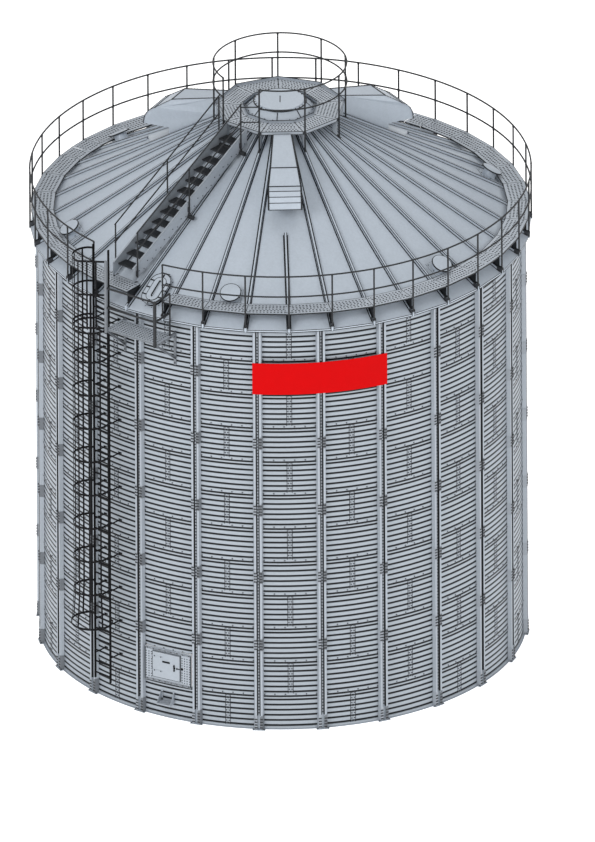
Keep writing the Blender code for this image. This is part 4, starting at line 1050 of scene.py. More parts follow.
def make_walkway(number, start, end):
    """Perforated planks on brackets that stand on the ribs, with folded edges."""
    forms, places = Forms(), []
    middle = cos(radians(5.0))
    low, high = DECK_IN * middle, DECK_OUT * middle
    angle = start
    while angle < end - 1.0:
        rib_ahead = (floor(angle / ROOF_FACET + 0.001) + 1.0) * ROOF_FACET
        step = min(ROOF_FACET, rib_ahead - angle, end - angle)
        forms.here = facing(angle + step / 2.0)
        half_turn = radians(step / 2.0)
        share = 2.0 * (sin(half_turn) if step > 9.0 else half_turn)
        near, far = DECK_IN * share, DECK_OUT * share
        forms += plank(near - 0.014, far - 0.014, high - low, 0.003,
                       matrix=forms.here @ shift(0.0, 0.0, DECK_TOP), x_from=low)
        for x, edge, wide in ((low, low, near), (high - 0.003, high - 0.012, far)):
            half = wide / 2.0 - 0.004
            forms.add(bar, DARK_EDGE, (x, -half, DECK_TOP - DECK_T), (x + 0.003, half, DECK_TOP + OVER))
            forms.add(bar, DARK_EDGE, (edge, -half, DECK_TOP), (edge + 0.012, half, DECK_TOP + 0.001))
        angle += step
    under = DECK_TOP - DECK_T
    for angle in facets(start, end):
        forms.here = facing(angle)
        forms.add(plate, DARK_EDGE, upstand(5.20, 5.64, under), -0.003, 0.003)
        forms.add(plate, DARK_EDGE, strip(rib_top, 5.20, 5.64, OVER, 0.006), -0.028, 0.028)
        forms.add(bar, DARK_EDGE, (5.18, -0.028, under), (5.655, 0.028, under + 0.004))
        forms.add(bar, DARK_EDGE, (DECK_IN + 0.004, -0.008, DECK_TOP),
                  (DECK_OUT - 0.004, 0.008, DECK_TOP + 0.001))
        places += [at(angle, r, side * 0.045, DECK_TOP) for r in (5.26, 5.58) for side in SIDES]
    forms.bolt(places, 0.011, 0.009, 0.015)
    piece(f"eave_planks_{number}", forms, nodes=(f"walkway_{number}",), smooth=0.0)


def arc(radius, height, start, end, step=2.5):
    """Points round the axis at one height."""
    count = max(1, round((end - start) / step))
    return [facing(start + (end - start) * i / count) @ Vector((radius, 0.0, height))
            for i in range(count + 1)]


def make_eave_guard(number, start, end):
    """Two rails on posts with sleeves at the rails and clamps on the ribs' ends."""
    forms = Forms()
    for height in (GUARD_TOP, GUARD_MIDDLE):
        forms.append((pipe(arc(GUARD_R, height, start, end), 0.0195, sides=2), TUBING))
    foot = rib_top(GUARD_R) + OVER
    cheek = [(5.590, rib_top(5.590) + 0.020), (TIP_R, rib_top(TIP_R) + 0.050),
             (TIP_R, EAVE_Z - 0.02), (5.690, EAVE_Z - 0.02), (5.590, roof_z(5.590) + 0.010)]
    for angle in facets(start, end):
        forms.here = facing(angle)
        forms.add(pipe, TUBING, [(GUARD_R, 0.0, foot + 0.006), (GUARD_R, 0.0, GUARD_TOP)], 0.0205,
                  sides=2)
        for height in (GUARD_TOP, GUARD_MIDDLE):
            forms.add(disc, TUBING, (GUARD_R, 0.0, height - 0.020), 0.0240, 0.034, sides=12)
        forms.add(bar, PLATED, (GUARD_R - 0.050, -0.036, foot - 0.004),
                  (GUARD_R + 0.024, 0.036, foot + 0.006))
        for side in SIDES:
            forms.add(plate, PLATED, cheek, *span(side, 0.032, 0.038))
    piece(f"eave_rails_{number}", forms, nodes=(f"eave_guard_{number}",))


def make_top_platform():
    """Nine perforated planks with upturned edges round the crown, on their legs."""
    forms, places = Forms(), []
    level, under = PLATFORM_TOP - 0.055, PLATFORM_TOP - PLATFORM_T
    half_turn = radians(PLATFORM_STEP / 2.0)
    low, high = PLATFORM_HOLE_R * cos(half_turn), PLATFORM_R * cos(half_turn)
    near, far = 2.0 * PLATFORM_HOLE_R * sin(half_turn), 2.0 * PLATFORM_R * sin(half_turn)
    for number in range(PLATFORM_SIDES):
        here = forms.here = facing(PLATFORM_FIRST + PLATFORM_STEP * (number + 0.5))
        forms += plank(near - 0.018, far - 0.018, high - low, 0.004, 0.072, 0.0215,
                       here @ shift(0.0, 0.0, level), low)
        for x, wide in ((low, near), (high - 0.005, far)):
            half = wide / 2.0 - 0.002
            forms.add(bar, PROFILE, (x, -half, under), (x + 0.005, half, PLATFORM_TOP))
            for edge in (under, PLATFORM_TOP - 0.014):
                forms.add(bar, DARK_EDGE, (x - GAP, -half, edge), (x + 0.0053, half, edge + 0.0142))
        for x in (low + 0.05, (low + high) / 2.0, high - 0.06):
            y = (near + (far - near) * (x - low) / (high - low)) / 2.0 - 0.014
            places += [here @ shift(x, side * y, level) for side in SIDES]
        forms.here = facing(PLATFORM_FIRST + PLATFORM_STEP * number)
        forms.add(bar, DARK_EDGE, (PLATFORM_HOLE_R + 0.02, -0.018, under),
                  (PLATFORM_R - 0.01, 0.018, level - 0.004))
        forms.add(bar, DARK_EDGE, (PLATFORM_HOLE_R + 0.01, -0.010, level),
                  (PLATFORM_R - 0.01, 0.010, level + 0.001))
        forms.add(plate, PROFILE, upstand(1.36, 1.46, under), -0.020, 0.020)
        forms.add(plate, PLATED, strip(rib_top, 1.34, 1.48, OVER, 0.008), -0.034, 0.034)
    forms.bolt(places, 0.010, 0.008, 0.014)
    piece("crown_planks", forms, nodes=("top_platform",), smooth=0.0)


def make_top_guard():
    """Guard round the crown platform: two bent rails on nine posts that reach down to the ribs."""
    forms = Forms()
    last = PLATFORM_FIRST + PLATFORM_STEP * (PLATFORM_SIDES - 1)
    foot = rib_top(TOP_GUARD_R - 0.02) + OVER
    for height in (TOP_GUARD_TOP, TOP_GUARD_MIDDLE):
        rail = arc(TOP_GUARD_R, height, PLATFORM_FIRST, last, 4.0)
        forms.append((pipe(rail, 0.0185, sides=3), TUBING))
    for number in range(PLATFORM_SIDES):
        forms.here = facing(PLATFORM_FIRST + PLATFORM_STEP * number)
        forms.add(pipe, TUBING, [(TOP_GUARD_R, 0.0, foot + 0.004), (TOP_GUARD_R, 0.0, TOP_GUARD_TOP)],
                  0.0205, sides=3)
        for height in (TOP_GUARD_TOP - 0.016, TOP_GUARD_MIDDLE):
            forms.add(disc, TUBING, (TOP_GUARD_R, 0.0, height), 0.0255, 0.036, sides=16)
        shoe = strip(rib_top, TOP_GUARD_R - 0.04, TOP_GUARD_R + 0.05, OVER, 0.010)
        forms.add(plate, PLATED, shoe, -0.030, 0.030)
        forms.add(bar, PLATED, (PLATFORM_R - 0.006, -0.045, PLATFORM_TOP - 0.060),
                  (TOP_GUARD_R - 0.019, 0.045, PLATFORM_TOP - 0.020))
    piece("crown_rails", forms, nodes=("top_guard",))


# Hoods

def hood_half(radius):
    """Half the hood's width at a distance from the axis."""
    for (r0, w0), (r1, w1) in zip(HOOD_WIDTHS, HOOD_WIDTHS[1:]):
        if radius <= r1:
            return w0 + (w1 - w0) * (radius - r0) / (r1 - r0)
    return HOOD_WIDTHS[-1][1]


def hood_front():
    """Corners of the hood's top line from the back down to the lip."""
    knee = [radians(68.0 * (1.0 - step / 4.0)) for step in range(5)]
    return [(HOOD_BACK_R, 13.04), (2.62, 12.78),
            *[(2.86 + 0.46 * cos(angle), 12.08 + 0.46 * sin(angle)) for angle in knee],
            (3.32, HOOD_LIP_Z)]


def hood_shell():
    """Sheet-metal hood open at the bottom of its visor."""
    bm = bmesh.new()

    def pair(r, z):
        return [bm.verts.new((r, side * hood_half(r), z)) for side in SIDES]

    rows = [pair(r, z) for r, z in hood_front()]
    back = pair(HOOD_BACK_R, roof_z(HOOD_BACK_R))
    throat = pair(HOOD_THROAT_R, roof_z(HOOD_THROAT_R))
    ledge, high = pair(HOOD_THROAT_R, HOOD_LIP_Z), pair(HOOD_THROAT_R, 12.60)
    for here, there in zip(rows, rows[1:]):
        bm.faces.new((here[0], there[0], there[1], here[1]))
    bm.faces.new((rows[0][0], rows[0][1], back[1], back[0]))
    for side, way in ((0, 1), (1, -1)):
        corners = [back[side], *[row[side] for row in rows], ledge[side], throat[side]]
        bm.faces.new(corners[::way])
    bm.faces.new((throat[0], throat[1], ledge[1], ledge[0]))
    bm.faces.new((ledge[0], ledge[1], high[1], high[0]))
    bmesh.ops.recalc_face_normals(bm, faces=bm.faces)
    return written(bm)


def flange_strip(line, side):
    """A bolted flange that follows the hood's side edge."""
    rows = []
    for i, (r, z) in enumerate(line):
        (r0, z0), (r1, z1) = line[max(0, i - 1)], line[min(len(line) - 1, i + 1)]
        step = Vector((r1 - r0, z1 - z0)).normalized()
        inner, outer = hood_half(r) - 0.012, hood_half(r) + 0.026
        rows.append([(r - step.y * up, side * y, z + step.x * up)
                     for y, up in ((inner, 0.007), (outer, 0.007), (outer, 0.001), (inner, 0.001))])
    return lofted(rows)


def stations(line, pitch):
    """Places every pitch along an (r, z) line, with the direction there."""
    found, left = [], 0.04
    for (r0, z0), (r1, z1) in zip(line, line[1:]):
        length = sqrt((r1 - r0) ** 2 + (z1 - z0) ** 2)
        while left < length:
            f = left / length
            found.append((r0 + (r1 - r0) * f, z0 + (z1 - z0) * f, atan2(z0 - z1, r1 - r0)))
            left += pitch
        left -= length
    return found


def make_hood(number, angle):
    """Exhaust hood: folded sheets with bolted side flanges, a knee seam, and a three-part visor."""
    line = hood_front()
    forms, places = Forms(), []
    forms.append((grown(THICKEN, hood_shell(), Thickness=0.004, Material=ROOFING), ROOFING))
    for side in SIDES:
        forms.append((flange_strip(line, side), DARK_EDGE))
        places += [shift(r, side * (hood_half(r) + 0.010), z) @ turned(degrees(slope), "Y")
                   @ shift(0.0, 0.0, 0.007) for r, z, slope in stations(line, 0.082)]
        foot = [[(r, side * (hood_half(r) + y), roof_z(r) + z)
                 for y, z in ((-0.010, 0.0), (0.070, 0.0), (0.070, 0.004), (-0.010, 0.004))]
                for r in (HOOD_BACK_R, HOOD_THROAT_R)]
        forms.append((lofted(foot), RIBBING))
        for r in [1.52 + 0.14 * k for k in range(9)]:
            places.append(shift(r, side * (hood_half(r) + 0.046), roof_z(r) + 0.004)
                          @ turned(30.0, "Y"))
    for (r, z), grow in zip(line[1:6], (0.016, 0.016, 0.009, 0.009, 0.009)):
        wide = hood_half(r) + 0.024
        forms.add(bar, DARK_EDGE, (r - grow, -wide, z - 0.004), (r + grow, wide, z + 0.009),
                  edge=0.003)
    wide = hood_half(3.32) + 0.018
    forms.add(bar, DARK_EDGE, (3.312, -wide, HOOD_LIP_Z), (3.334, wide, HOOD_LIP_Z + 0.012), edge=0.003)
    forms.bolt(places, 0.010, 0.009, 0.014)
    piece(f"hood_sheets_{number}", forms.placed(facing(angle)),
          nodes=(f"exhaust_hood_{number}",), smooth=0.0)


# Vents and hatch

def on_panel(angle, distance):
    """Frame on a roof panel's surface: x down the slope, y along the eave, z out of the roof."""
    middle = cos(radians(5.0))
    return at(angle, distance, 0.0, roof_z(distance / middle)) @ turned(degrees(atan(SLOPE / middle)), "Y")


def make_vent(number):
    """Small roof vent: bolted plate, rubber seal, stub with a bead, and a dished round lid."""
    here = on_panel(15.0 + 60.0 * (number - 1), 4.93)
    forms = Forms(here)
    forms.add(bar, SEAL_AND_SHADE_STRIP, (-0.235, -0.235, OVER), (0.235, 0.235, 0.003))
    forms.add(bar, RIBBING, (-0.230, -0.230, 0.003), (0.230, 0.230, 0.010), edge=0.002)
    for level, radius, height, sides, edge, finish in (
            (0.014, 0.172, 0.008, 40, 0.0, RIBBING), (0.088, 0.150, 0.156, 40, 0.0, ROOFING),
            (0.120, 0.156, 0.012, 40, 0.003, RIBBING), (0.1745, 0.245, 0.007, 48, 0.0, PLATED),
            (0.1880, 0.245, 0.020, 48, 0.005, DARK_EDGE)):
        forms.add(disc, finish, (0.0, 0.0, level), radius, height, sides=sides, edge=edge)
    forms.add(disc, ROOFING, (0.0, 0.0, 0.2015), 0.228, 0.007, sides=48, top=0.205)
    for k in range(3):
        leg = here @ turned(120.0 * k + 30.0, "Z")
        forms.add(bar, RIBBING, (0.146, -0.015, 0.030), (0.152, 0.015, 0.172), matrix=leg)
        forms.add(bar, RIBBING, (0.150, -0.015, 0.165), (0.238, 0.015, 0.171), matrix=leg)
    spots = (-0.19, 0.0, 0.19)
    forms.bolt([here @ shift(x, y, 0.010) for x in spots for y in spots if x or y],
               0.012, 0.010, 0.016)
    piece(f"vent_cap_{number}", forms, nodes=(f"roof_vent_{number}",), smooth=28.0)


def oval_points(half_length, half_width, steps=12):
    """Points of a flat shape with round ends, its length along x."""
    reach = half_length - half_width
    points = []
    for end, start in ((reach, -90.0), (-reach, 90.0)):
        for step in range(steps + 1):
            angle = radians(start + 180.0 * step / steps)
            points.append((end + half_width * cos(angle), half_width * sin(angle)))
    return points


def oval_ring(half_length, half_width, wall, low, high):
    """A band with round ends on a local frame, or a full plate when the wall is 0."""
    outer = oval_points(half_length, half_width)
    if wall <= 0.0:
        return upright(outer, low, high)
    inner = oval_points(half_length - wall, half_width - wall)
    return lofted([[(x, y, z) for x, y in line] for line, z in
                   ((outer, low), (outer, high), (inner, high), (inner, low))], closed=True)


def make_hatch():
    """Oval roof hatch: bolted collar, dark seal, lid with a raised middle, clamps and a bar handle."""
    forms = Forms()
    for *sizes, finish in ((0.468, 0.293, 0.055, OVER, 0.006, RIBBING),
                           (0.415, 0.240, 0.006, 0.004, 0.098, BLACKENED),
                           (0.440, 0.265, 0.040, 0.097, 0.120, ROOFING),
                           (0.440, 0.265, 0.010, 0.118, 0.130, BLACKENED),
                           (0.402, 0.227, 0.0, 0.104, 0.114, ROOFING),
                           (0.330, 0.155, 0.0, 0.112, 0.124, ROOFING),
                           (0.335, 0.160, 0.010, 0.112, 0.129, BLACKENED)):
        forms.append((oval_ring(*sizes), finish))
    spots = [(-0.36, 0.0, 180.0), (0.36, 0.0, 0.0)]
    spots += [(x, side * 0.21, side * 90.0) for side in SIDES for x in (-0.20, 0.0, 0.20)]
    for x, y, turn in spots:
        clamp = shift(x, y, 0.0) @ turned(turn, "Z")
        forms.add(bar, BLACKENED, (-0.050, -0.014, 0.114), (0.062, 0.014, 0.126), matrix=clamp,
                  edge=0.002)
        forms.add(disc, BLACKENED, (0.030, 0.0, 0.128), 0.016, 0.010, matrix=clamp, sides=12)
    grip = [(-0.215, 0.0, 0.122), (-0.215, 0.0, 0.165), (0.215, 0.0, 0.165), (0.215, 0.0, 0.122)]
    forms.add(pipe, BLACKENED, rounded(grip, 0.03), 0.0145, sides=3)
    forms.add(bar, PLATED, (-0.470, -0.110, 0.020), (-0.425, 0.110, 0.034), edge=0.003)
    forms.add(pipe, PLATED, [(-0.452, -0.115, 0.110), (-0.452, 0.115, 0.110)], 0.014, sides=3)
    for side in SIDES:
        low, high = span(side, 0.050, 0.080)
        forms.add(bar, PLATED, (-0.460, low, 0.030), (-0.444, high, 0.112))
    forms.bolt([shift(x, y, 0.006) for x, y in oval_points(0.452, 0.277, 5)], 0.010, 0.009, 0.013)
    piece("hatch_lid", forms.placed(on_panel(-5.0, 5.12)), nodes=("roof_hatch",),
          smooth=28.0)


# Stair

def nose_z(distance):
    """Height of the line through the stair's nosings."""
    return STAIR_FOOT_Z + (STAIR_FOOT_R - distance) * STEP_RISE / STEP_RUN


def cross_tube_z(distance):
    """Height of a cross tube's middle where it lies on the ribs."""
    return rib_top(distance / cos(radians(5.0))) + 0.0517 / cos(PITCH)


def tread():
    """An open tread, its nosing at the origin: edge bars, a serrated grid, and a nosing plate."""
    half = 0.2885
    forms = [bar((-0.265, -half, -0.034), (-0.259, half, -0.001)),
             bar((-0.006, -half, -0.034), (0.0, half, 0.0)),
             bar((-0.030, -half, -0.004), (0.0, half, 0.0))]
    for side in SIDES:
        low, high = span(side, half - 0.005, half)
        forms.append(bar((-0.265, low, -0.034), (0.0, high, -0.001)))
    for x in [-0.226 + 0.038 * k for k in range(6)]:
        forms.append(bar((x, -half, -0.026), (x + 0.004, half, -0.001)))
    for y in [-half + 0.034 * (k + 0.5) for k in range(17)]:
        forms.append(bar((-0.262, y, -0.012), (-0.004, y + 0.004, 0.0)))
    return joined(forms)


def make_stairs():
    """Roof stair: channel stringers on cross tubes, and thirteen open treads."""
    here = facing(STAIR_ANGLE)
    turn = radians(PLATFORM_FIRST - PLATFORM_STEP / 2.0 - STAIR_ANGLE)
    edge = PLATFORM_R * cos(radians(PLATFORM_STEP / 2.0)) + GAP
    end = (edge + STAIR_HALF * sin(turn)) / cos(turn)
    high = STAIR_FOOT_R - (STRINGER_TOP - STRINGER_UP - STAIR_FOOT_Z) * STEP_RUN / STEP_RISE
    heel = STAIR_FOOT_R + (STAIR_FOOT_Z - STRINGER_DOWN - DECK_TOP - GAP) * STEP_RUN / STEP_RISE
    outline = [(end, nose_z(end) - STRINGER_DOWN), (heel, DECK_TOP + OVER),
               (STRINGER_R, DECK_TOP + OVER), (STRINGER_R, nose_z(STRINGER_R) + STRINGER_UP),
               (high, STRINGER_TOP), (end, STRINGER_TOP)]
    noses = [(STAIR_FOOT_R - STEP_RUN * k, STAIR_FOOT_Z + STEP_RISE * k) for k in range(STEPS)]
    forms, places = Forms(here), []
    for side in SIDES:
        forms.add(plate, PROFILE, outline, *span(side, STAIR_HALF - 0.006, STAIR_HALF))
        for near, far, offset in ((high + 0.01, STRINGER_R - 0.004, STRINGER_UP),
                                  (end, heel - 0.02, 0.008 - STRINGER_DOWN)):
            forms.add(plate, PROFILE, strip(nose_z, near, far, offset, offset - 0.008),
                      *span(side, STAIR_HALF - 0.040, STAIR_HALF))
        places += [here @ shift(n + x, side * STAIR_HALF, z - 0.018) @ turned(-90.0 * side, "X")
                   for n, z in noses for x in (-0.05, -0.21)]
    step = tread()
    forms += [(joined([step], here @ shift(n, 0.0, z)), GRATE_AND_HOLE_SHADE) for n, z in noses]
    for n in CROSS_TUBES:
        middle = cross_tube_z(n)
        forms.add(pipe, TUBING, [(n, -0.468, middle), (n, 0.468, middle)], 0.0498, sides=5)
        for y in (-0.405, -0.445, 0.405, 0.445):
            far = y + (0.012 if y > 0.0 else -0.012)
            forms.add(pipe, PLATED, [(n, y, middle), (n, far, middle)], 0.0535, sides=5)
    for side in SIDES:
        low, high = span(side, STAIR_HALF - 0.030, STAIR_HALF)
        forms.add(bar, PLATED, (5.075, low, DECK_TOP + OVER), (5.235, high, DECK_TOP + 0.008))
    forms.bolt(places, 0.011, 0.009, 0.015)
    piece("stair_treads", forms, nodes=("roof_stairs",))


def make_handrail(name, node, side):
    """A stair handrail: posts with seats on the stringer, and two rails."""
    reach = 0.341
    y = side * reach
    seat = span(side, STAIR_HALF + OVER, reach)
    forms = Forms(facing(STAIR_ANGLE))
    for above in (1.00, 0.55):
        forms.add(pipe, TUBING, [(n, y, nose_z(n) + above) for n in (5.148, 1.642)], 0.0165, sides=3)
    for n in (5.12, *CROSS_TUBES):
        level = nose_z(n)
        on_tube = n in CROSS_TUBES
        low = cross_tube_z(n) + 0.0505 if on_tube else level - 0.13
        forms.add(pipe, TUBING, [(n, y, low), (n, y, level + 1.004)], 0.0185, sides=3)
        forms.add(disc, TUBING, (n, y, level + 0.55), 0.0235, 0.040, sides=14)
        forms.add(bar, PLATED, (n - 0.034, seat[0], level - 0.105), (n + 0.034, seat[1], level + 0.025),
                  edge=0.003)
        if on_tube:
            forms.add(disc, PLATED, (n, y, low + 0.014), 0.036, 0.020, sides=18)
    if side > 0.0:
        turn = radians(PLATFORM_FIRST - STAIR_ANGLE)
        near = Vector((CROSS_TUBES[1], y, 0.0))
        far = Vector((TOP_GUARD_R * cos(turn), TOP_GUARD_R * sin(turn), 0.0))
        far -= (far - near).normalized() * 0.021
        for lift in (Vector((0.0, 0.0, z)) for z in (13.74, 13.36)):
            forms.add(pipe, TUBING, [near + lift, far + lift], 0.0155, sides=3)
    piece(name, forms, nodes=(node,))


# Ladder, cage and rest platform

def wall_foot(angle, half, thickness, low, high):
    """A plate flat on the wall at an angle, and the frame of its middle's outer face."""
    middle = (floor(angle / 5.0) + 0.5) * 5.0
    offset = STIFFENER_BACK * tan(radians(angle - middle))
    form = bar((STIFFENER_BACK, offset - half, low), (STIFFENER_BACK + thickness, offset + half, high),
               facing(middle), 0.002)
    return form, at(middle, STIFFENER_BACK + thickness, offset, (low + high) / 2.0)


def make_ladder():
    """Ladder: folded side rails, ridged rungs, and struts with feet on the wall."""
    here = facing(LADDER_ANGLE)
    near, far = LADDER_N - LADDER_DEPTH, LADDER_N + LADDER_DEPTH
    sheet = 0.004
    forms, places = Forms(here), []

    def box(low, high, edge=0.0):
        forms.add(bar, BLACKENED, low, high, edge=edge)

    for side in SIDES:
        t = LADDER_MIDDLE_T + side * LADDER_HALF
        face = t + side * RAIL_HALF
        web = sorted((face, face - side * sheet))
        box((near, web[0], LADDER_LOW), (far, web[1], LADDER_HIGH))
        for x in (near, far - sheet):
            box((x, t - RAIL_HALF, LADDER_LOW), (x + sheet, t + RAIL_HALF, LADDER_HIGH))
        for z in (LADDER_LOW, LADDER_HIGH - sheet):
            box((near, t - RAIL_HALF, z), (far, t + RAIL_HALF, z + sheet))
        angle = LADDER_ANGLE + degrees(atan(t / WALL_R))
        for level in [STRUT_FIRST + RING_H * k for k in range(STRUTS)]:
            foot, middle = wall_foot(angle, 0.050, 0.008, level - STRUT_H / 2.0, level + STRUT_H / 2.0)
            forms.append((foot, BLACKENED))
            box((WALL_R - 0.012, t - 0.005, level - 0.015), (LADDER_N - 0.005, t + 0.005, level + 0.015))
            places += [outward(middle @ shift(0.0, y, 0.0)) for y in (-0.032, 0.032)]
            places.append(here @ shift(LADDER_N, face, level) @ turned(-90.0 * side, "X"))
    for level in every(RUNG_PITCH, RUNG_FIRST, RUNG_LAST):
        box((LADDER_N - RUNG_HALF, LADDER_MIDDLE_T - LADDER_HALF, level - RUNG_HALF),
            (LADDER_N + RUNG_HALF, LADDER_MIDDLE_T + LADDER_HALF, level + 0.0125), 0.003)
        for y in [LADDER_MIDDLE_T - 0.18 + 0.045 * k for k in range(9)]:
            box((LADDER_N - RUNG_HALF, y - 0.006, level + 0.011),
                (LADDER_N + RUNG_HALF, y + 0.006, level + RUNG_HALF))
    forms.bolt(places, 0.012, 0.010, 0.016)
    piece("ladder_rungs", forms, nodes=("ladder",), smooth=0.0)


def cage_place(angle, reach, level):
    """A point of the cage at an angle from straight out."""
    return Vector((CAGE_N + reach * cos(radians(angle)),
                   LADDER_MIDDLE_T + reach * sin(radians(angle)), level))


def flat_band(points, matrix):
    """A flat bar on edge: it follows points in a level plane, its width upright."""
    rows = []
    up = Vector((0.0, 0.0, BAND_H / 2.0))
    for i, point in enumerate(points):
        along = (points[min(len(points) - 1, i + 1)] - points[max(0, i - 1)]).normalized()
        out = Vector((along.y, -along.x, 0.0)).normalized() * (BAND_T / 2.0)
        rows.append([point + move for move in (out + up, out - up, -out - up, -out + up)])
    return lofted(rows, matrix)


def make_cage():
    """Safety cage: flat hoops, the lowest flared, and flat bars; its upper hoops end at the post."""
    here = facing(LADDER_ANGLE)
    front = LADDER_N + LADDER_DEPTH + GAP
    left, right = (Vector((front, LADDER_MIDDLE_T + side * LADDER_HALF, 0.0)) for side in SIDES)
    tip = here.inverted() @ facing(REST_ANGLE) @ Vector((REST_POST_N, REST_LEFT - GAP, 0.0))
    corner = cage_place(0.0, CAGE_R - BAND_T / 2.0, 0.0)
    steps = round(2.0 * 3.5 * CAGE_STEP / CAGE_FINE)
    angles = [-3.5 * CAGE_STEP + CAGE_FINE * k for k in range(steps + 1)]
    closed = [CAGE_FIRST + CAGE_PITCH * k for k in range(9)]
    opened = [closed[-1] + CAGE_PITCH * k for k in range(1, 4)]
    forms, places = Forms(), []
    for level in (*closed, CAGE_LAST_CLOSED, *opened):
        last = 0 if level in opened else 3
        reach = CAGE_R - BAND_T / 2.0 + (CAGE_FLARE if level == CAGE_FIRST else 0.0)
        points = [cage_place(angle, reach, 0.0) for angle in angles if angle <= 0.0 or last]
        points = [left, *points, right if last else tip]
        lift = Vector((0.0, 0.0, level))
        forms.append((flat_band([point + lift for point in points], here), BLACKENED))
        for angle in [CAGE_STEP * k for k in range(-3, last + 1)]:
            spot = Matrix.Translation(cage_place(angle, reach + BAND_T / 2.0, level))
            places.append(outward(here @ spot @ turned(angle, "Z")))
    reach = CAGE_R - BAND_T
    for k in range(-3, 4):
        top = (CAGE_LAST_CLOSED if k > 0 else opened[-1]) + BAND_H / 2.0
        knots = [(reach + CAGE_FLARE, CAGE_FIRST - BAND_H / 2.0), (reach, closed[1]), (reach, top)]
        forms.here = here @ shift(CAGE_N, LADDER_MIDDLE_T, 0.0) @ turned(CAGE_STEP * k, "Z")
        for (r0, z0), (r1, z1) in zip(knots, knots[1:]):
            outline = [(r0, z0), (r1, z1), (r1 - BAND_T, z1), (r0 - BAND_T, z0)]
            forms.add(plate, BLACKENED, outline, -CAGE_BAR_HALF, CAGE_BAR_HALF)
    straight = tip - corner
    turn = Matrix.Rotation(atan2(-straight.x, straight.y), 4, "Z")
    for share in (1.0 / 3.0, 2.0 / 3.0):
        forms.here = here @ Matrix.Translation(corner + straight * share) @ turn
        forms.add(bar, BLACKENED, (-BAND_T * 1.5, -CAGE_BAR_HALF, opened[0] - BAND_H / 2.0),
                  (-BAND_T / 2.0, CAGE_BAR_HALF, opened[-1] + BAND_H / 2.0))
        places += [outward(forms.here @ shift(BAND_T / 2.0, 0.0, level)) for level in opened]
    forms.bolt(places, 0.008, 0.006, 0.011)
    piece("cage_hoops", forms, nodes=("ladder_cage",))


def make_rest_platform():
    """Rest platform beside the ladder: perforated tray on two open brackets, and its guard."""
    here = facing(REST_ANGLE)
    seat = STIFFENER_FACE + GAP
    under = REST_TOP - REST_CHANNEL_H
    wide = REST_RIGHT - REST_LEFT - 0.008
    tray = here @ shift(0.0, (REST_LEFT + REST_RIGHT) / 2.0, REST_TOP - 0.002)
    forms, places = Forms(here), []
    forms += plank(wide, wide, REST_OUT - seat, 0.004, 0.074, 0.022, tray, seat)
    for x in (seat, REST_OUT - 0.004):
        forms.add(bar, SPLICE, (x, REST_LEFT, REST_TOP - 0.040), (x + 0.004, REST_RIGHT, REST_TOP))
    for t in (REST_LEFT + REST_BAR_HALF, REST_RIGHT - REST_BAR_HALF):
        angle = REST_ANGLE + degrees(atan(t / WALL_R))
        post, middle = wall_foot(angle, REST_BAR_HALF, 0.030, 8.95, REST_TOP)
        start = (here.inverted() @ middle.translation).x - 0.010
        tip, low, high = REST_OUT - 0.005, REST_STRUT_LOW, under + 0.004
        slant = 0.070 * (tip - start) / (under - low)
        forms.append((post, SPLICE))
        forms.add(bar, SPLICE, (start, t - 0.020, under), (REST_OUT - 0.004, t + 0.020, REST_TOP - 0.005))
        for back, rise, half in ((slant, 0.070, 0.0), (0.008, 0.008, 0.030)):
            strut = [(start, low), (tip, high), (tip - back, high), (start, low + rise)]
            forms.add(plate, SPLICE, strut, t - 0.018, t - 0.012 + half)
        places += [outward(middle @ shift(0.0, 0.0, z)) for z in (-0.36, -0.24, 0.30)]
        places += [here @ shift(x, t + 0.020, under + 0.040) @ turned(-90.0, "X")
                   for x in (5.66, 5.90, 6.10)]
    forms.bolt(places)
    piece("rest_planks", forms, nodes=("rest_platform",), smooth=0.0)

    half = REST_POST_HALF
    left, right = REST_LEFT + half, REST_RIGHT - half
    top = REST_RAILS[0]
    rails = Forms(here)
    for level in REST_RAILS:
        rails.add(pipe, TUBING, [(REST_POST_N, left, level), (REST_POST_N, right, level),
                                 (REST_INNER_N, right, level)], 0.0250, sides=3)
    rails.add(pipe, TUBING, [(REST_INNER_N, right, REST_TOP + 0.002), (REST_INNER_N, right, top)],
              0.0200, sides=3)
    rails.add(disc, TUBING, (REST_INNER_N, right, REST_TOP + 0.006), 0.038, 0.010, sides=18)
    for t, high, finish in ((right, top + half, TUBING), (left, 11.51, SPLICE)):
        rails.add(bar, finish, (REST_POST_N - half, t - half, under),
                  (REST_POST_N + half, t + half, high), edge=0.004)
    piece("rest_rails", rails, nodes=("rest_platform_guard",))


# Door, step and panel

def surround(outer, inner):
    """Four (y0, z0, y1, z1) rectangles that fill the room between two."""
    (y0, z0, y1, z1), (y2, z2, y3, z3) = outer, inner
    return (y0, z0, y2, z1), (y3, z0, y1, z1), (y2, z0, y3, z2), (y2, z3, y3, z1)


def leaf_edges(wide):
    """Four (y0, z0, y1, z1) strips along the door leaf's edges."""
    return ((DOOR_LEFT, DOOR_LOW, DOOR_RIGHT, DOOR_LOW + wide),
            (DOOR_LEFT, DOOR_HIGH - wide, DOOR_RIGHT, DOOR_HIGH),
            (DOOR_LEFT, DOOR_LOW, DOOR_LEFT + wide, DOOR_HIGH),
            (DOOR_RIGHT - wide, DOOR_LOW, DOOR_RIGHT, DOOR_HIGH))


def add_hinge(forms, barrel, pin):
    """Add a hinge's barrel and its pin's end, given the heights of their middles."""
    forms.add(disc, PROFILE, (PIN_X, PIN_Y, barrel), 0.011, 0.0496, sides=20, edge=0.0012)
    forms.add(disc, PLATED, (PIN_X, PIN_Y, pin), 0.0085, 0.008, sides=16, edge=0.001)


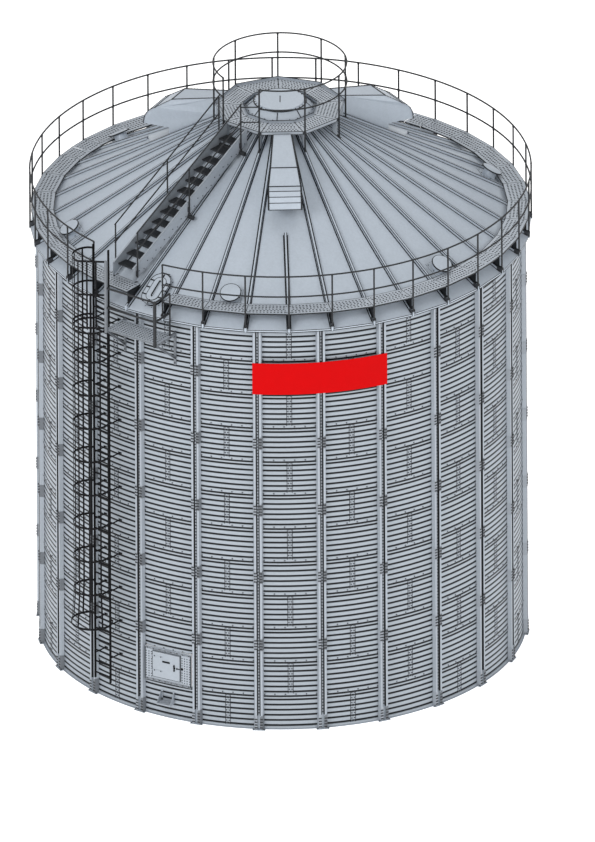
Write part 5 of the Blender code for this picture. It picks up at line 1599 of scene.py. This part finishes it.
def make_door_frame():
    """Door surround: bolted side plates, ridged head and sill, seal, liner and hinge knuckles."""
    face, half = DOOR_FACE, 0.590
    left, right, low, high = DOOR_LEFT, DOOR_RIGHT, DOOR_LOW, DOOR_HIGH
    foot, head = RING_H + OVER, 2.0 * RING_H - OVER
    forms, places = Forms(facing(0.0)), []
    edge = degrees(asin(half / WALL_R))
    for start, end in ((-FIRST_STIFFENER, -edge), (edge, FIRST_STIFFENER)):
        forms.append(bent_sheet(ring_rows(RING_H), start, end, 1, SHEET))
    hole = (left + 0.035, low + 0.035, right - 0.035, high - 0.035)
    liner = (hole[0] - 0.004, hole[1] - 0.004, hole[2] + 0.004, hole[3] + 0.004)
    for sheet in surround((-half, foot, half, head), hole):
        forms.slab(PROFILE, face - 0.028, face - 0.004, sheet)
    for sheet in surround(liner, hole):
        forms.slab(PROFILE, DOOR_BACK, face - 0.002, sheet)
    for y0, y1, columns in ((-0.586, -0.400, 3), (0.334, 0.578, 4)):
        forms.slab(PROFILE, face - 0.004, face + 0.001, (y0, foot + 0.070, y1, head - 0.060), 0.0015)
        pitch = (y1 - y0 - 0.052) / (columns - 1)
        places += [outward(at(0.0, face + 0.001, y0 + 0.026 + pitch * k, foot + 0.105 + 0.0615 * row))
                   for k in range(columns) for row in range(11)]
    for z0, z1 in ((foot + 0.004, foot + 0.066), (head - 0.056, head - 0.004)):
        forms.slab(PROFILE, face - 0.004, face + 0.0015, (-0.586, z0, 0.586, z1), 0.0015)
        for y in [-0.575 + 1.15 * k / 38 for k in range(38)]:
            ridge = [(y, z0 + 0.006), (y + 0.011, z0 + 0.006), (y + 0.026, z1 - 0.006),
                     (y + 0.015, z1 - 0.006)]
            forms.add(pushed, BLACKENED, [(face + OVER, *place) for place in ridge], (0.005, 0.0, 0.0))
    forms.slab(SEAL_AND_SHADE_STRIP, face - 0.004, face + 0.022, (0.5795, foot + 0.02, half, head - 0.02), 0.002)
    forms.slab(SEAL_AND_SHADE_STRIP, face - 0.004, face + 0.016, (-half, foot + 0.02, -0.5800, head - 0.02))
    for seal in ((left - 0.002, low - 0.006, right + 0.010, low + 0.012),
                 (left - 0.002, high - 0.012, right + 0.010, high + 0.006),
                 (left - 0.002, low + 0.012, left + 0.018, high - 0.012),
                 (right - 0.010, low + 0.012, right + 0.010, high - 0.012)):
        forms.slab(SEAL_AND_SHADE_STRIP, face - 0.004, face + 0.0045, seal, 0.001)
    for level in HINGES:
        add_hinge(forms, level + 0.025, level - 0.004)
        forms.slab(PROFILE, face - 0.002, face + 0.0035, (-0.450, level + 0.004, -0.402, level + 0.046),
                   0.001)
        forms.slab(PROFILE, face, PIN_X, (-0.424, level + 0.005, -0.412, level + 0.045), 0.001)
    forms.bolt(places, 0.0105, 0.009, 0.0145)
    forms.bolt([outward(at(0.0, face + 0.006, -0.53 + 0.1514 * k, z)) for k in range(8)
                for z in (foot + 0.035, head - 0.030)], 0.011, 0.010, 0.016)
    for deep, y in ((0.018, 0.352), (0.006, 0.388)):
        forms.slab(BLACKENED, face, face + deep, (0.338, 1.272, y, 1.312), 0.002)
    piece("door_surround", forms, nodes=("door_frame",), smooth=28.0)


def make_door_leaf():
    """Hinged door leaf: dished sheet with a return, strap hinges, recessed grip and a turn latch."""
    back, face = LEAF_BACK, LEAF_BACK + 0.0245
    left, right, low, high = DOOR_LEFT, DOOR_RIGHT, DOOR_LOW, DOOR_HIGH
    grip_z, latch_y, latch_z = 1.392, 0.175, 1.29
    forms, places = Forms(facing(0.0)), []
    forms.add(bar, PROFILE, (back + 0.016, left, low), (back + 0.0250, right, high), edge=0.003,
              segments=2)
    for sheet in leaf_edges(0.004):
        forms.slab(PROFILE, back, back + 0.018, sheet)
    for sheet in leaf_edges(0.010):
        forms.slab(SEAL_AND_SHADE_STRIP, face, back + 0.0253, sheet)
    for y in (left + 0.05, right - 0.085):
        forms.slab(PROFILE, back + 0.004, back + 0.018, (y, low + 0.06, y + 0.035, high - 0.06), 0.002)
    for middle in [level + 0.0753 for level in HINGES]:
        add_hinge(forms, middle, middle + 0.0288)
        forms.slab(PROFILE, PIN_X - 0.003, PIN_X + 0.003,
                   (PIN_Y, middle - 0.018, left + 0.004, middle + 0.018))
        forms.slab(PROFILE, face, back + 0.0305,
                   (left + 0.006, middle - 0.018, left + 0.26, middle + 0.018), 0.0015)
        places += [outward(at(0.0, back + 0.0305, left + y, middle)) for y in (0.055, 0.22)]
    forms.slab(BLACKENED, face, back + 0.0300, (-0.135, grip_z - 0.022, 0.060, grip_z + 0.022), 0.002)
    grip = [(back + x, y, grip_z) for x, y in ((0.026, -0.115), (0.050, -0.115), (0.050, 0.040),
                                               (0.026, 0.040))]
    forms.add(pipe, BLACKENED, rounded(grip, 0.012), 0.0075, sides=3)
    for x, z, radius, height, sides in ((0.0250, 0.0, 0.026, 0.012, 24), (0.034, 0.060, 0.020, 0.016, 20),
                                        (0.034, -0.060, 0.020, 0.016, 20)):
        forms.add(disc, BLACKENED, (0.0, 0.0, height / 2.0), radius, height, sides=sides, edge=0.002,
                  matrix=outward(at(0.0, back + x, latch_y, latch_z + z)))
    forms.add(bar, BLACKENED, (back + 0.036, latch_y - 0.013, latch_z - 0.072),
              (back + 0.050, latch_y + 0.013, latch_z + 0.072), edge=0.005, segments=2)
    for x0, x1, y0, y1, reach in ((0.026, 0.038, 0.222, 0.318, 0.008),
                                  (0.0250, 0.042, 0.236, 0.256, 0.018)):
        forms.slab(BLACKENED, back + x0, back + x1, (y0, latch_z - reach, y1, latch_z + reach), 0.002)
    forms.bolt(places, 0.012, 0.010, 0.016)
    piece("door_sheet", forms, body=DOOR, nodes=("door_leaf",), smooth=28.0)


def make_step():
    """Step under the door: three-cornered cheeks on a wall plate with an open serrated tread."""
    left, right, level, high = -0.190, 0.145, 0.410, 0.655
    back, front, t, sheet = 5.5015, 5.730, 0.006, 0.004
    low = level - 0.040
    inner = (left + t, right - t)
    forms, places = Forms(facing(0.0)), []
    for y in (left, right - t):
        forms.add(plate, PROFILE, [(back, low), (front, low), (front, level), (back, high)], y, y + t)
    for y in (left, right - 0.040):
        forms.slab(PROFILE, back, back + sheet, (y, low, y + 0.040, high))
        places += [outward(at(0.0, back + sheet, y + 0.020, z)) for z in (0.440, 0.600)]
    forms.slab(PROFILE, back, back + sheet, (inner[0], low, inner[1], level + 0.040))
    forms.slab(SPLICE_PALE, front - 0.005, front, (inner[0], low + 0.004, inner[1], level - 0.002))
    for x in [back + 0.022 + 0.042 * k for k in range(5)]:
        forms.slab(SPLICE_PALE, x, x + sheet, (inner[0], low + 0.006, inner[1], level - 0.004))
    for y in [left + 0.020 + 0.0295 * k for k in range(11)]:
        forms.slab(SPLICE_PALE, back + sheet, front - sheet, (y, level - 0.014, y + sheet, level - 0.001))
    forms.bolt(places, 0.012, 0.010, 0.016)
    piece("step_cheeks", forms, nodes=("door_step",), smooth=0.0)


def make_panel():
    """Plain red panel bent round three stiffeners, with folded edges."""
    inner = STIFFENER_FACE + 0.006
    hem = 0.003
    rows = [(inner, PANEL_LOW), (inner + 0.0055, PANEL_LOW + hem), (inner + 0.0055, PANEL_HIGH - hem),
            (inner, PANEL_HIGH)]
    piece("red_sheet", [bent_sheet(rows, PANEL_FROM, PANEL_TO, 26, RED, 0.003)],
          nodes=("plain_panel",), smooth=40.0)


# The silo

for number in range(6):
    start = FIRST_STIFFENER + 60.0 * number
    make_wall_segment(number + 1, start, min(start + 60.0, 352.5))
make_door_bay()
for name, middle in (("stiffeners_front", 0.0), ("stiffeners_right", 90.0),
                     ("stiffeners_back", 180.0), ("stiffeners_left", 270.0)):
    make_stiffeners(name, middle)
for number in range(1, 7):
    make_roof_sector(number)
    make_vent(number)
make_crown()
for make, last in ((make_walkway, 350.0), (make_eave_guard, 340.0)):
    turns = (0.0, 85.0, 175.0, 265.0, last)
    for number, (start, end) in enumerate(zip(turns, turns[1:]), 1):
        make(number, start, end)
make_top_platform()
make_top_guard()
for number, angle in enumerate((30.0, 150.0, 270.0), 1):
    make_hood(number, angle)
make_hatch()
make_stairs()
make_handrail("stair_rail_left", "stair_handrail_left", -1.0)
make_handrail("stair_rail_right", "stair_handrail_right", 1.0)
make_ladder()
make_cage()
make_rest_platform()
make_door_frame()
make_door_leaf()
make_step()
make_panel()


# Stage, light and camera

WHITE = (1.0, 1.0, 1.0, 1.0)
FLOOR_REACH, FLOOR_Z = 260.0, -0.002

pale = Paint("pale floor", 0.0, 0.95)
for socket, value in (("Base Color", WHITE), ("Emission Color", WHITE), ("Emission Strength", 0.60)):
    pale.shader.inputs[socket].default_value = value
floor_mesh = bpy.data.meshes.new("floor")
floor_mesh.from_pydata([(x * FLOOR_REACH, y * FLOOR_REACH, FLOOR_Z)
                        for x, y in ((-1.0, -1.0), (1.0, -1.0), (1.0, 1.0), (-1.0, 1.0))],
                       [], [(0, 1, 2, 3)])
floor_mesh.materials.append(pale.material)
stage_floor = bpy.data.objects.new("floor", floor_mesh)
bpy.context.scene.collection.objects.link(stage_floor)

world = bpy.data.worlds.new("studio")
world.use_nodes = True
backdrop = world.node_tree.nodes["Background"]
backdrop.inputs["Color"].default_value = WHITE
backdrop.inputs["Strength"].default_value = 0.70
bpy.context.scene.world = world
bpy.context.scene.view_settings.view_transform = "Standard"

AZIMUTH, ELEVATION, ROLL = radians(28.23), radians(25.96), radians(-0.31)
AIM = Vector((0.357 * cos(AZIMUTH), 0.357 * sin(AZIMUTH), 5.10))
LEVEL_OUT = Vector((sin(AZIMUTH), -cos(AZIMUTH), 0.0))
OUT = LEVEL_OUT * cos(ELEVATION) + Vector((0.0, 0.0, sin(ELEVATION)))
RIGHT = Vector((cos(AZIMUTH), sin(AZIMUTH), 0.0))


def lamp(name, place, aim, energy, size):
    """A square area lamp aimed at a point, placed in metres to the camera's right, up and toward it."""
    right, up, toward = place
    data = bpy.data.lights.new(name, "AREA")
    data.energy = energy
    data.size = size
    light = bpy.data.objects.new(name, data)
    light.location = AIM + RIGHT * right + Vector((0.0, 0.0, up)) + LEVEL_OUT * toward
    light.rotation_euler = (aim - light.location).to_track_quat("-Z", "Y").to_euler()
    bpy.context.scene.collection.objects.link(light)


lamp("key", (-17.0, 22.0, 24.0), AIM, 4500.0, 12.0)
lamp("fill", (24.0, 12.0, 20.0), AIM, 1900.0, 16.0)
lamp("back", (4.0, 24.0, -22.0), Vector((0.0, 0.0, 9.0)), 900.0, 14.0)

data = bpy.data.cameras.new("camera")
data.type = "ORTHO"
data.ortho_scale = 19.136
data.clip_end = 400.0
camera = bpy.data.objects.new("camera", data)
camera.matrix_world = (Matrix.Translation(AIM + OUT * 60.0)
                       @ OUT.to_track_quat("Z", "Y").to_matrix().to_4x4()
                       @ Matrix.Rotation(ROLL, 4, "Z"))
bpy.context.scene.collection.objects.link(camera)
bpy.context.scene.camera = camera
